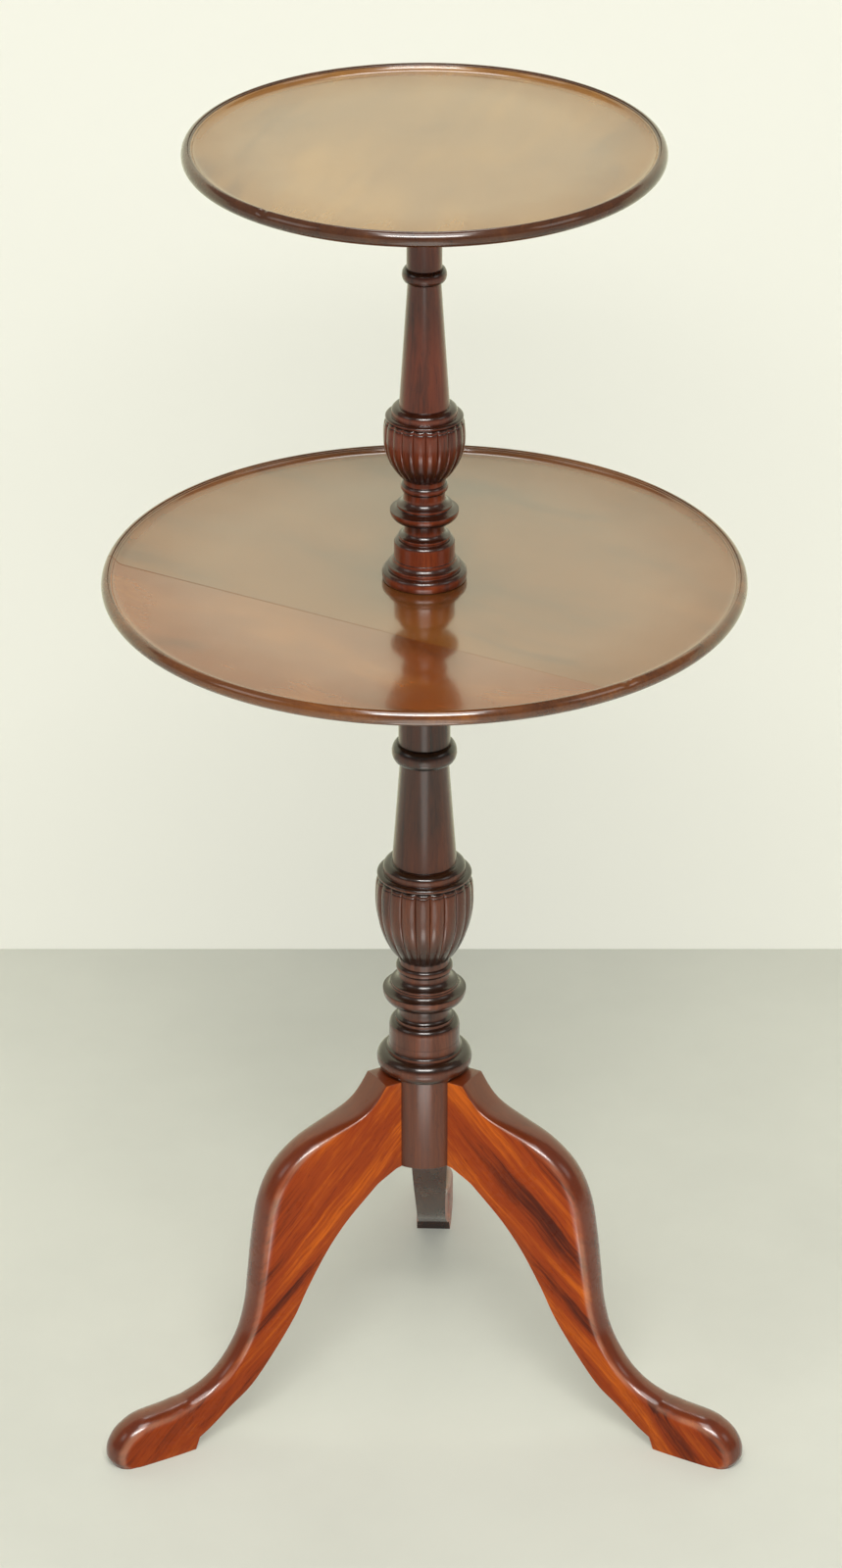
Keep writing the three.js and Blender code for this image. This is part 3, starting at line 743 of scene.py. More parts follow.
def skinned(name: str, rings: list[list[Place]], material: bpy.types.Material, sharp: float,
            closed: bool = False) -> bpy.types.Object:
    """Makes an object from rings of points about Z, each of one point or of as many as the widest.

    Args:
        name: The object's name.
        rings: The rings in order, each anticlockwise. An open last one gets a flat end.
        material: Its finish.
        sharp: The shading angle in degrees.
        closed: Whether the last ring meets the first.

    Returns:
        The object.
    """
    sides = max(len(points) for points in rings)
    starts = [0, *accumulate(len(points) for points in rings)]
    pairs = [(i, i + 1) for i in range(len(rings) - 1)] + ([(len(rings) - 1, 0)] if closed else [])
    faces = []
    for low, high in pairs:
        a, b = starts[low], starts[high]
        for j in range(sides):
            k = (j + 1) % sides
            if len(rings[low]) == 1:
                faces.append((a, b + k, b + j))
            elif len(rings[high]) == 1:
                faces.append((a + j, a + k, b))
            else:
                faces.append((a + j, a + k, b + k, b + j))
    if not closed and len(rings[-1]) > 1:
        faces.append(tuple(range(starts[-2], starts[-1])))
    return object_from(name, [point for points in rings for point in points], faces, material, sharp)


def lofted(name: str, sections: list[list[Place]], material: bpy.types.Material,
           sharp: float = SHARP) -> bpy.types.Object:
    """Makes a closed solid through sections of as many points each.

    Args:
        name: The object's name.
        sections: The sections in order, each clockwise as seen from the one before.
        material: Its finish.
        sharp: The shading angle in degrees.

    Returns:
        The solid.
    """
    size, points = len(sections[0]), [point for section in sections for point in section]
    faces = []
    for a in range(0, len(points) - size, size):
        for j in range(size):
            k = (j + 1) % size
            faces.append((a + j, a + size + j, a + size + k, a + k))
    faces += [tuple(range(size)), tuple(reversed(range(len(points) - size, len(points))))]
    return object_from(name, points, faces, material, sharp)


def turned(name: str, outline: list[Point], material: bpy.types.Material, sides: int,
           sharp: float = SHARP) -> bpy.types.Object:
    """Turns an outline of radius and height points about Z.

    Args:
        name: The object's name.
        outline: The outline in millimetres. It may be closed, or start and end on the axis.
        material: Its finish.
        sides: Sides round the axis.
        sharp: The shading angle in degrees.

    Returns:
        The turned object.
    """
    closed = outline[0] == outline[-1]
    rings = [ring(radius, height, sides) for radius, height in (outline[:-1] if closed else outline)]
    return skinned(name, rings, material, sharp, closed)


def prism(name: str, plan: list[Point], bottom: float, top: float) -> bpy.types.Object:
    """Makes a straight-sided solid for cutting or joining.

    Args:
        name: The object's name.
        plan: Its outline in plan, anticlockwise, in millimetres.
        bottom: The height of its underside.
        top: The height of its top.

    Returns:
        The solid.
    """
    count = len(plan)
    points = [(x, y, bottom) for x, y in plan] + [(x, y, top) for x, y in plan]
    faces = [tuple(reversed(range(count))), tuple(range(count, 2 * count))]
    faces += [(i, (i + 1) % count, count + (i + 1) % count, count + i) for i in range(count)]
    return object_from(name, points, faces, unseen())


def smooth_through(values: list[tuple[float, ...]], steps: int, corners: frozenset[int]) -> list[tuple]:
    """Runs a smooth curve through rows of numbers.

    Args:
        values: The rows that it passes through.
        steps: New rows for each stretch.
        corners: Rows where the curve breaks sharply.

    Returns:
        The rows of the curve.
    """
    def slope(i: int, side: int) -> list[float]:
        """Returns the curve's direction at a row, as seen from one side of it."""
        if i in corners or i in (0, len(values) - 1):
            j = min(max(i + side, 0), len(values) - 1)
            return [(b - a) * side for a, b in zip(values[i], values[j])]
        return [(b - a) / 2 for a, b in zip(values[i - 1], values[i + 1])]

    made = []
    for i in range(len(values) - 1):
        leave, arrive = slope(i, 1), slope(i + 1, -1)
        for step in range(steps):
            t = step / steps
            row = []
            for p, q, m, n in zip(values[i], values[i + 1], leave, arrive):
                row.append((2 * t**3 - 3 * t**2 + 1) * p + (t**3 - 2 * t**2 + t) * m
                           + (3 * t**2 - 2 * t**3) * q + (t**3 - t**2) * n)
            made.append(tuple(row))
    made.append(values[-1])
    return made


@dataclass(frozen=True)
class Axis:
    """Where the column stands, and how pieces are set on it and handed to the frame."""

    x: float
    y: float

    def place(self, made: bpy.types.Object, body: Body, slot: Slot, node: str) -> None:
        """Stands a finished piece on the column's axis and gives it to the frame for a CAD node.

        Args:
            made: The piece.
            body: What it moves with.
            slot: The record's finish for it; not used.
            node: The CAD node that it stands for.
        """
        made.matrix_world = Matrix.Translation((self.x, self.y, 0))
        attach(made, body.value)
        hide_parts(node)
        log.info("%s: %d faces, for %s", made.name, len(made.data.polygons), node)


# Sub-assemblies


@dataclass(frozen=True)
class Moulding:
    """One moulding: its kind, the radius of its head and its height, and for a round its widest radius."""

    bend: Bend
    head: float
    height: float
    widest: float = 0.0

    def add_to(self, outline: list[Point], steps: int) -> None:
        """Adds the moulding to an outline that ends at its foot.

        Args:
            outline: Radius and height points.
            steps: How finely it is curved.
        """
        foot, base = outline[-1]
        if self.bend is Bend.STRAIGHT:
            if abs(self.head - foot) > 0.02:
                outline.append((self.head, base))
            outline.append((self.head, base + self.height))
            return
        for i in range(1, steps + 1):
            t = i / steps
            if self.bend is Bend.ROUND:
                line = foot + (self.head - foot) * t
                rise = (1 - math.cos(math.pi * t)) / 2
                reach = line + (self.widest - line) * math.sin(math.pi * t)
                outline.append((reach, base + self.height * rise))
                continue
            early, late = math.sin(math.pi * t / 2), 1 - math.cos(math.pi * t / 2)
            rises_late = (self.head > foot) == (self.bend is Bend.SWELL)
            reach, rise = (early, late) if rises_late else (late, early)
            outline.append((foot + (self.head - foot) * reach, base + self.height * rise))


@dataclass
class Urn:
    """The reeded bowl of a column, in millimetres."""

    foot: float
    widest: float
    head: float
    bowl: float
    crown: float
    reed_depth: float
    reed_degrees: float
    tuck: float
    reeds: int = 20
    bowl_steps: int = 26
    crown_steps: int = 12
    tuck_steps: int = 7

    def rings(self) -> list[Place]:
        """Returns the crest radius, height and reed depth of each ring, from the foot up."""
        swelling = self.widest - self.foot
        controls = [
            (self.foot, 0.0),
            (self.foot + swelling * 0.5, self.bowl * 0.16),
            (self.foot + swelling * 1.03, self.bowl * 0.56),
            (self.widest, self.bowl),
        ]
        made = []
        for i in range(self.bowl_steps + 1):
            t = i / self.bowl_steps
            weights = ((1 - t) ** 3, 3 * t * (1 - t) ** 2, 3 * t**2 * (1 - t), t**3)
            radius = sum(w * c[0] for w, c in zip(weights, controls))
            height = sum(w * c[1] for w, c in zip(weights, controls))
            made.append((radius, height, self.reed_depth * (0.45 + 0.55 * t)))
        for i in range(1, self.crown_steps + 1):
            turn = math.pi / 2 * i / self.crown_steps
            radius = self.widest + (self.head - self.widest) * (1 - math.cos(turn))
            height = (self.crown - self.tuck) * math.sin(turn)
            depth = self.reed_depth * (1 - 0.2 * i / self.crown_steps)
            made.append((radius, self.bowl + height, depth))
        # The reeds' rounded ends
        last_radius, last_height, depth = made[-1]
        for i in range(1, self.tuck_steps + 1):
            turn = math.pi / 2 * i / self.tuck_steps
            drop = depth * 1.15 * (1 - math.cos(turn))
            made.append((last_radius - drop, last_height + self.tuck * math.sin(turn), max(0.05, depth - drop)))
        return made


@dataclass(frozen=True)
class ColumnShares:
    """A column's outline from its foot to the shoulder that carries the bearer.

    Radii are shares of the column's widest radius, heights are shares of its length. A moulding has its bend,
    the radius of its head, its height and, for a round, its widest radius. The urn has the radii of its foot,
    widest ring and head, and the heights of its bowl and crown. The shaft has the radii of its foot and head.
    """

    foot: tuple[tuple, ...]
    urn_radii: Place
    urn_heights: Point
    shoulder: tuple[tuple, ...]
    shaft: Point
    cap: tuple[tuple, ...]


LOWER_SHARES = ColumnShares(
    foot=(
        (ROUND, 0.8, 0.0423, 0.978),
        (STRAIGHT, 0.783, 0.006),
        (HOLLOW, 0.728, 0.0191),
        (STRAIGHT, 0.725, 0.0267),
        (SWELL, 0.628, 0.0164),
        (STRAIGHT, 0.6, 0.0065),
        (HOLLOW, 0.517, 0.0125),
        (STRAIGHT, 0.517, 0.0177),
        (SWELL, 0.853, 0.0286),
        (STRAIGHT, 0.853, 0.0049),
        (HOLLOW, 0.706, 0.0125),
        (STRAIGHT, 0.689, 0.0049),
        (HOLLOW, 0.525, 0.0172),
        (STRAIGHT, 0.525, 0.0055),
        (ROUND, 0.525, 0.0177, 0.583),
        (STRAIGHT, 0.517, 0.0123),
    ),
    urn_radii=(0.525, 1.0, 0.961),
    urn_heights=(0.1391, 0.0436),
    shoulder=(
        (ROUND, 0.872, 0.0125, 0.964),
        (STRAIGHT, 0.842, 0.0022),
        (STRAIGHT, 0.839, 0.006),
        (SWELL, 0.689, 0.0125),
    ),
    shaft=(0.656, 0.492),
    cap=(
        (ROUND, 0.536, 0.042, 0.658),
        (STRAIGHT, 0.522, 0.1909),
        (HOLLOW, 0.75, 0.0382),
        (STRAIGHT, 0.761, 0.0082),
        (SWELL, 0.889, 0.0191),
        (STRAIGHT, 0.889, 0.0136),
    ),
)
UPPER_SHARES = ColumnShares(
    foot=(
        (ROUND, 0.888, 0.0288, 1.0),
        (STRAIGHT, 0.842, 0.0054),
        (STRAIGHT, 0.862, 0.0061),
        (HOLLOW, 0.737, 0.0169),
        (STRAIGHT, 0.714, 0.0365),
        (SWELL, 0.612, 0.0115),
        (STRAIGHT, 0.586, 0.0044),
        (STRAIGHT, 0.609, 0.0054),
        (HOLLOW, 0.467, 0.0156),
        (STRAIGHT, 0.467, 0.0203),
        (SWELL, 0.806, 0.0264),
        (STRAIGHT, 0.806, 0.0047),
        (HOLLOW, 0.605, 0.0088),
        (STRAIGHT, 0.651, 0.0064),
        (HOLLOW, 0.484, 0.0176),
        (STRAIGHT, 0.484, 0.0159),
        (ROUND, 0.497, 0.021, 0.556),
        (STRAIGHT, 0.49, 0.0115),
    ),
    urn_radii=(0.493, 0.961, 0.911),
    urn_heights=(0.1134, 0.0406),
    shoulder=(
        (ROUND, 0.809, 0.0115, 0.911),
        (STRAIGHT, 0.776, 0.0024),
        (STRAIGHT, 0.77, 0.0061),
        (SWELL, 0.618, 0.0139),
    ),
    shaft=(0.589, 0.388),
    cap=(
        (ROUND, 0.424, 0.0359, 0.52),
        (STRAIGHT, 0.411, 0.1239),
        (HOLLOW, 0.592, 0.0338),
        (STRAIGHT, 0.605, 0.0081),
        (SWELL, 0.724, 0.019),
        (STRAIGHT, 0.724, 0.0135),
    ),
)


@dataclass
class TurnedColumn:
    """One turned column with its reeded urn, in millimetres from its foot upwards."""

    name: str
    shares: ColumnShares
    base: float
    radius: float
    length: float
    outline_start: list[Point]
    outline_end: list[Point]
    reed_depth: float
    reed_degrees: float
    tuck: float
    steps: int = 9
    sides_per_reed: int = 12
    arris: float = 0.45
    sharp: float = 40.0

    def mouldings(self, shares: tuple[tuple, ...]) -> list[Moulding]:
        """Returns mouldings in millimetres."""
        return [
            Moulding(bend, head * self.radius, height * self.length, widest[0] * self.radius if widest else 0.0)
            for bend, head, height, *widest in shares
        ]

    def urn(self) -> Urn:
        """Returns the urn in millimetres."""
        sizes = [share * self.radius for share in self.shares.urn_radii]
        sizes += [share * self.length for share in self.shares.urn_heights]
        return Urn(*sizes, self.reed_depth, self.reed_degrees, self.tuck)

    def outlines(self, urn: Urn) -> tuple[list[Point], list[Point]]:
        """Sets out the column below and above its urn.

        Args:
            urn: The urn.

        Returns:
            The outline below it and the outline above it.
        """
        below = list(self.outline_start)
        start = below[-1][1]
        for moulding in self.mouldings(self.shares.foot):
            moulding.add_to(below, self.steps)
        above = [(urn.head - urn.reed_depth, below[-1][1] + urn.bowl + urn.crown)]
        for moulding in self.mouldings(self.shares.shoulder):
            moulding.add_to(above, self.steps)
        cap = self.mouldings(self.shares.cap)
        shaft_foot, shaft_head = (share * self.radius for share in self.shares.shaft)
        cap_height = sum(moulding.height for moulding in cap)
        above += [(shaft_foot, above[-1][1]), (shaft_head, start + self.length - cap_height)]
        for moulding in cap:
            moulding.add_to(above, self.steps)
        return below, above + self.outline_end

    def build(self, material: bpy.types.Material) -> bpy.types.Object:
        """Builds the column as one mesh, with the same sides all the way up, so the reeds run into the rings.

        Args:
            material: Its finish.

        Returns:
            The column, standing at its base height.
        """
        urn = self.urn()
        below, above = self.outlines(urn)
        urn_base = below[-1][1]
        rows = [(r, z, 0.0) for r, z in softened(below, self.arris)]
        rows += [(r, z + urn_base, depth) for r, z, depth in urn.rings()]
        rows += [(r, z, 0.0) for r, z in softened(above, self.arris)]
        per = self.sides_per_reed
        sides = []
        for j in range(urn.reeds * per):
            across = -math.cos(math.pi * (j % per) / per)
            centre = (j // per + 0.5) * 2 * math.pi / urn.reeds + math.radians(urn.reed_degrees)
            sides.append((centre + across * math.pi / urn.reeds, 1 - math.sqrt(max(0.0, 1 - across * across))))
        rings = []
        for radius, height, depth in rows:
            points = []
            for angle, hollow in sides if radius else [(0.0, 0.0)]:
                reach = radius - depth * hollow
                points.append((reach * math.cos(angle), reach * math.sin(angle), height + self.base))
            rings.append(points)
        return skinned(self.name, rings, material, self.sharp)


def lower_column(top: float, floor: float, shoulder: float, seat: float) -> TurnedColumn:
    """Sets out the lower column.

    Args:
        top: The height of the block's top.
        floor: The height of its underside.
        shoulder: The height of the shoulder that carries the bearer.
        seat: The height of the upper column's seat.

    Returns:
        The column, ready to build.
    """
    step, tip = seat - floor - FIT_GAP, seat - floor + TENON_LENGTH
    return TurnedColumn(
        "turned_lower_column", LOWER_SHARES, base=floor, radius=36.0, length=shoulder - top,
        outline_start=[(0.0, 0.0), (BLOCK_RADIUS, 0.0), (BLOCK_RADIUS, top - floor)],
        outline_end=[(LOWER_PIN, shoulder - floor), (LOWER_PIN, step), (TENON, step), (TENON, tip - 1.0),
                     (TENON - 1.0, tip), (0.0, tip)],
        reed_depth=2.1, reed_degrees=7.0, tuck=2.6,
    )


def upper_column(seat: float, shoulder: float, pin_top: float) -> TurnedColumn:
    """Sets out the upper column.

    Args:
        seat: The height of its foot.
        shoulder: The height of the shoulder that carries the bearer.
        pin_top: The height of its pin's top.

    Returns:
        The column, ready to build.
    """
    radius, socket = 30.4, TENON + FIT_GAP
    pin = pin_top - seat
    return TurnedColumn(
        "turned_upper_column", UPPER_SHARES, base=seat, radius=radius, length=shoulder - seat,
        outline_start=[(0.0, TENON_LENGTH + FIT_GAP), (socket, TENON_LENGTH + FIT_GAP), (socket, 0.0),
                       (0.974 * radius, 0.0)],
        outline_end=[(UPPER_PIN, shoulder - seat), (UPPER_PIN, pin - 1.0), (UPPER_PIN - 1.0, pin), (0.0, pin)],
        reed_depth=1.8, reed_degrees=1.7, tuck=2.2,
    )


@dataclass
class CabrioleLegs:
    """Three legs sawn from board and rounded over on top, each with a dovetail into the block."""

    reach: float
    top: float
    block_floor: float
    thickness: float = 28.0
    tenon_depth: float = 12.0
    tenon_neck: float = 12.0
    tenon_tail: float = 17.0
    tenon_overlap: float = 6.0
    shoulder_drop: float = 15.0
    # Sections from the block to the toe. Shares of the reach and of the top height for the knee line, of the
    # reach and of the block's height above the floor for the arch line, then the width and the crown
    section_shares: list[tuple] = field(default_factory=lambda: [
        (0.112, 1.0, 0.112, 1.0, 1.0, 0.04),
        (0.15, 1.0, 0.155, 0.968, 1.0, 0.04),
        (0.173, 0.966, 0.177, 0.95, 1.0, 0.05),
        (0.2, 0.938, 0.2, 0.922, 1.0, 0.07),
        (0.235, 0.919, 0.225, 0.891, 1.0, 0.1),
        (0.303, 0.898, 0.251, 0.858, 1.0, 0.18),
        (0.378, 0.872, 0.277, 0.822, 1.0, 0.27),
        (0.44, 0.832, 0.298, 0.789, 1.0, 0.34),
        (0.484, 0.781, 0.317, 0.757, 1.0, 0.39),
        (0.517, 0.703, 0.336, 0.721, 1.0, 0.41),
        (0.536, 0.597, 0.364, 0.66, 0.99, 0.4),
        (0.549, 0.488, 0.402, 0.565, 0.95, 0.37),
        (0.561, 0.388, 0.44, 0.458, 0.89, 0.32),
        (0.587, 0.3, 0.499, 0.334, 0.82, 0.28),
        (0.637, 0.222, 0.57, 0.211, 0.78, 0.26),
        (0.693, 0.176, 0.638, 0.14, 0.78, 0.27),
        (0.753, 0.152, 0.7, 0.077, 0.82, 0.29),
        (0.775, 0.147, 0.74, 0.047, 0.9, 0.31),
        (0.785, 0.146, 0.753, 0.0, 0.93, 0.32),
        (0.818, 0.141, 0.8, 0.0, 0.98, 0.34),
        (0.895, 0.135, 0.872, 0.0, 1.0, 0.37),
        (0.937, 0.12, 0.908, 0.0, 1.0, 0.41),
        (0.968, 0.098, 0.925, 0.0, 0.99, 0.44),
        (0.991, 0.064, 0.932, 0.0, 0.97, 0.47),
        (0.997, 0.026, 0.936, 0.0, 0.95, 0.48),
        (0.985, 0.0, 0.937, 0.0, 0.94, 0.48),
    ])
    corners: frozenset[int] = frozenset({1, 17, 18})
    steps: int = 7
    crest_steps: int = 14
    flank_steps: int = 5
    sharp: float = 38.0

    def rows(self) -> list[tuple[float, ...]]:
        """Returns the sections' sizes in millimetres, smoothed along the leg."""
        scale = (self.reach, self.top - FIT_GAP, self.reach, self.block_floor, self.thickness, self.thickness)
        sizes = [tuple(share * size for share, size in zip(shares, scale)) for shares in self.section_shares]
        return smooth_through(sizes, self.steps, self.corners)

    def section(self, row: tuple[float, ...]) -> list[Place]:
        """Sets out one section: up a flank, over the crest and down the other flank.

        Args:
            row: The crest's reach and height, the sole's reach and height, the width and the crown's depth.

        Returns:
            Its points in millimetres.
        """
        crest, sole, width = Vector(row[:2]), Vector(row[2:4]), row[4]
        down = sole - crest
        inward = down.normalized() if down.length > 1e-6 else Vector((-1, 0))
        crown = min(row[5], 0.92 * down.length)
        shoulder = crest + inward * crown
        flank = [sole + (shoulder - sole) * i / self.flank_steps for i in range(self.flank_steps)]
        made = [(place, -width / 2) for place in flank]
        for i in range(self.crest_steps + 1):
            turn = math.pi * i / self.crest_steps - math.pi / 2
            made.append((crest + inward * crown * (1 - math.cos(turn) ** 0.8), width / 2 * math.sin(turn)))
        made += [(place, width / 2) for place in reversed(flank)]
        return [(place.x, y, max(0.0, place.y)) for place, y in made]

    def leg(self, name: str, material: bpy.types.Material) -> bpy.types.Object:
        """Builds one leg along +X, with the column's axis at zero.

        Args:
            name: The leg's name.
            material: Its finish.

        Returns:
            The leg.
        """
        against = BLOCK_RADIUS + FIT_GAP / 2
        sections = [self.section(row) for row in self.rows()]
        sections[0] = [(math.sqrt(max(0.0, against**2 - y * y)), y, z) for _, y, z in sections[0]]
        made = lofted(name, sections, material, self.sharp)
        tenon = prism("tenon", self.tenon_plan(0.0, against + self.tenon_overlap), self.block_floor + FIT_GAP,
                      self.top - self.shoulder_drop)
        combined(made, tenon, "UNION", self.sharp)
        return made

    def tenon_plan(self, clearance: float, outer: float) -> list[Point]:
        """Sets out the dovetail in plan.

        Args:
            clearance: How much wider it is all round, as a socket.
            outer: How far from the axis it reaches.

        Returns:
            Its corners.
        """
        inner = BLOCK_RADIUS - self.tenon_depth - clearance
        neck, tail = self.tenon_neck / 2 + clearance, self.tenon_tail / 2 + clearance
        return [(inner, -tail), (BLOCK_RADIUS, -neck), (outer, -neck), (outer, neck), (BLOCK_RADIUS, neck),
                (inner, tail)]

    def cut_sockets(self, column: bpy.types.Object, sharp: float) -> None:
        """Cuts the dovetails' sockets into the block.

        Args:
            column: The lower column.
            sharp: Its shading angle in degrees.
        """
        plan = self.tenon_plan(FIT_GAP, BLOCK_RADIUS + self.tenon_overlap)
        for degrees in LEG_DEGREES.values():
            socket = prism("socket", plan, self.block_floor - self.tenon_overlap,
                           self.top - self.shoulder_drop + FIT_GAP)
            socket.data.transform(spun(degrees))
            combined(column, socket, "DIFFERENCE", sharp)

    def build(self, axis: Axis, finishes: Finishes) -> None:
        """Builds the three legs in place.

        Args:
            axis: Where the column stands.
            finishes: The table's finishes.
        """
        for (place, degrees), material in zip(LEG_DEGREES.items(), finishes.legs):
            made = self.leg(f"cabriole_leg_{place}", material)
            made.data.transform(spun(degrees))
            axis.place(made, Body.STAND, Slot.LEG, f"leg_{place}")


@dataclass
class WoodScrew:
    """A countersunk slotted wood screw with its head face at zero and its tip up, in millimetres."""

    length: float
    head_radius: float = 4.2
    head_depth: float = 3.0
    shank: float = 2.1
    core: float = 1.45
    tip: float = 5.0
    pitch: float = 1.7
    plain_share: float = 0.3
    blunt_share: float = 0.03
    slot_width: float = 1.2
    slot_depth: float = 1.3
    hole_overrun: float = 4.0
    sides: int = 28
    steps_per_turn: int = 8
    sharp: float = 30.0

    def thread(self, plain: float) -> list[list[Place]]:
        """Sets out the thread, ring by ring.

        Args:
            plain: The height at which it starts.

        Returns:
            The rings.
        """
        rings = []
        count = int((self.length - plain) / self.pitch * self.steps_per_turn)
        for i in range(1, count + 1):
            height = plain + (self.length - plain) * i / count
            taper = max(min(1.0, (self.length - height) / self.tip), self.blunt_share)
            points = []
            for j in range(self.sides):
                phase = (height / self.pitch - j / self.sides) % 1.0
                ridge = max(0.0, 1 - abs(phase - 0.5) * 4)
                radius = (self.core + (self.shank - self.core) * ridge) * taper
                angle = 2 * math.pi * j / self.sides
                points.append((radius * math.cos(angle), radius * math.sin(angle), height))
            rings.append(points)
        return rings

    def build(self, name: str, material: bpy.types.Material) -> bpy.types.Object:
        """Builds the screw.

        Args:
            name: Its name.
            material: Its finish.

        Returns:
            The screw at the origin.
        """
        plain = self.head_depth + self.plain_share * (self.length - self.head_depth)
        rows = [(0.0, 0.0), (self.head_radius - 0.5, 0.0), (self.head_radius - 0.12, 0.12),
                (self.head_radius, 0.4), (self.shank, self.head_depth), (self.shank, plain)]
        rings = [ring(radius, height, self.sides) for radius, height in rows]
        made = skinned(name, rings + self.thread(plain), material, self.sharp)
        half, reach = self.slot_width / 2, 2 * self.head_radius
        slot = prism("slot", [(-reach, -half), (reach, -half), (reach, half), (-reach, half)],
                     -self.slot_depth, self.slot_depth)
        combined(made, slot, "DIFFERENCE", self.sharp)
        return made

    def hole(self) -> bpy.types.Object:
        """Returns the solid that drills a hole for the screw."""
        head, shank, end = self.head_radius + FIT_GAP, self.shank + FIT_GAP, self.length + FIT_GAP
        outline = [(0.0, -self.hole_overrun), (head, -self.hole_overrun), (head, 0.0), (shank, self.head_depth),
                   (shank, end), (0.0, end)]
        return turned("hole", outline, unseen(), self.sides)


@dataclass
class LegPlate:
    """The three-armed iron plate under the block, with its four screws, in millimetres."""

    block_floor: float
    thickness: float = 2.5
    width: float = 15.0
    overhang: float = 21.0
    bend_inset: float = 1.0
    screw_inset: float = 8.0
    root_margin: float = 2.0
    root_drop: float = 9.5
    bevel: float = 0.5
    hub_sides: int = 48
    arm_steps: int = 4
    straight_share: float = 0.72
    # The arm's rounded end: how far along the arm, and how much of its width is left there
    end_shares: tuple[Point, ...] = ((0.8, 0.99), (0.88, 0.93), (0.95, 0.76), (0.985, 0.5), (1.0, 0.2))
    screw: WoodScrew = field(default_factory=lambda: WoodScrew(19.0))
    middle_slot_degrees: float = 25.0

    def slope(self) -> float:
        """Returns the slope of the legs' roots in radians."""
        return math.atan2(self.root_drop, self.overhang + self.root_margin)

    def under_root(self, reach: float, below: float) -> Point:
        """Returns the place at a reach along the root and a distance below it."""
        height = self.block_floor - (reach - BLOCK_RADIUS) * math.tan(self.slope())
        return reach - below * math.sin(self.slope()), height - below * math.cos(self.slope())

    def stations(self, bend: float) -> list[Place]:
        """Sets out one arm along +X.

        Args:
            bend: Where it bends down.

        Returns:
            The reach, the height and the share of the width at each station.
        """
        floor, arm = self.block_floor - FIT_GAP, BLOCK_RADIUS + self.overhang - bend
        made = [(0.0, floor, 1.0), (bend - 3, floor, 1.0), (bend, floor - 0.15, 1.0)]
        for i in range(1, self.arm_steps + 1):
            reach = bend + arm * i / self.arm_steps * self.straight_share
            made.append((*self.under_root(reach, FIT_GAP), 1.0))
        made += [(*self.under_root(bend + arm * along, FIT_GAP), width) for along, width in self.end_shares]
        return made

    def arm(self) -> bpy.types.Object:
        """Returns one bent arm along +X, with a rounded end."""
        bend, slope = BLOCK_RADIUS - self.bend_inset, self.slope()
        bevel, deep = self.bevel, self.thickness - self.bevel
        sections = []
        for x, z, share in self.stations(bend):
            tilt = slope if x > bend + 0.5 else (slope / 2 if x > bend - 0.5 else 0.0)
            down = Vector((-math.sin(tilt), -math.cos(tilt)))
            half = self.width / 2 * share
            corners = ((-half, bevel), (-half, deep), (-half + bevel, self.thickness),
                       (half - bevel, self.thickness), (half, deep), (half, bevel), (half - bevel, 0.0),
                       (-half + bevel, 0.0))
            sections.append([(x + down.x * depth, side, z + down.y * depth) for side, depth in corners])
        return lofted("arm", sections, unseen())

    def build(self, axis: Axis, finishes: Finishes) -> None:
        """Builds the plate and its screws in place.

        Args:
            axis: Where the column stands.
            finishes: The table's finishes.
        """
        top, floor = self.block_floor - FIT_GAP, self.block_floor - FIT_GAP - self.thickness
        inner = self.width - self.bevel
        hub = [(0.0, floor), (inner, floor), (self.width, floor + self.bevel), (self.width, top - self.bevel),
               (inner, top), (0.0, top)]
        made = turned("iron_leg_plate", hub, finishes.iron, self.hub_sides)
        reach = BLOCK_RADIUS + self.overhang - self.screw_inset
        x, z = self.under_root(reach, FIT_GAP + self.thickness)
        seat = moved(x, 0, z) @ Matrix.Rotation(self.slope(), 4, "Y")
        for place, degrees in LEG_DEGREES.items():
            arm, drill = self.arm(), self.screw.hole()
            drill.data.transform(seat)
            combined(arm, drill, "DIFFERENCE")
            arm.data.transform(spun(degrees))
            combined(made, arm, "UNION")
            fixing = self.screw.build(f"leg_plate_screw_{place}", finishes.steel)
            fixing.data.transform(seat @ spun(degrees * 1.3))
            fixing.data.transform(spun(degrees))
            axis.place(fixing, Body.STAND, Slot.STEEL, f"plate_screw_{place}")
        drill = self.screw.hole()
        drill.data.transform(moved(0, 0, floor))
        combined(made, drill, "DIFFERENCE")
        axis.place(made, Body.STAND, Slot.IRON, "leg_plate")
        fixing = self.screw.build("leg_plate_screw_middle", finishes.steel)
        fixing.data.transform(moved(0, 0, floor) @ spun(self.middle_slot_degrees))
        axis.place(fixing, Body.STAND, Slot.STEEL, "plate_screw_middle")


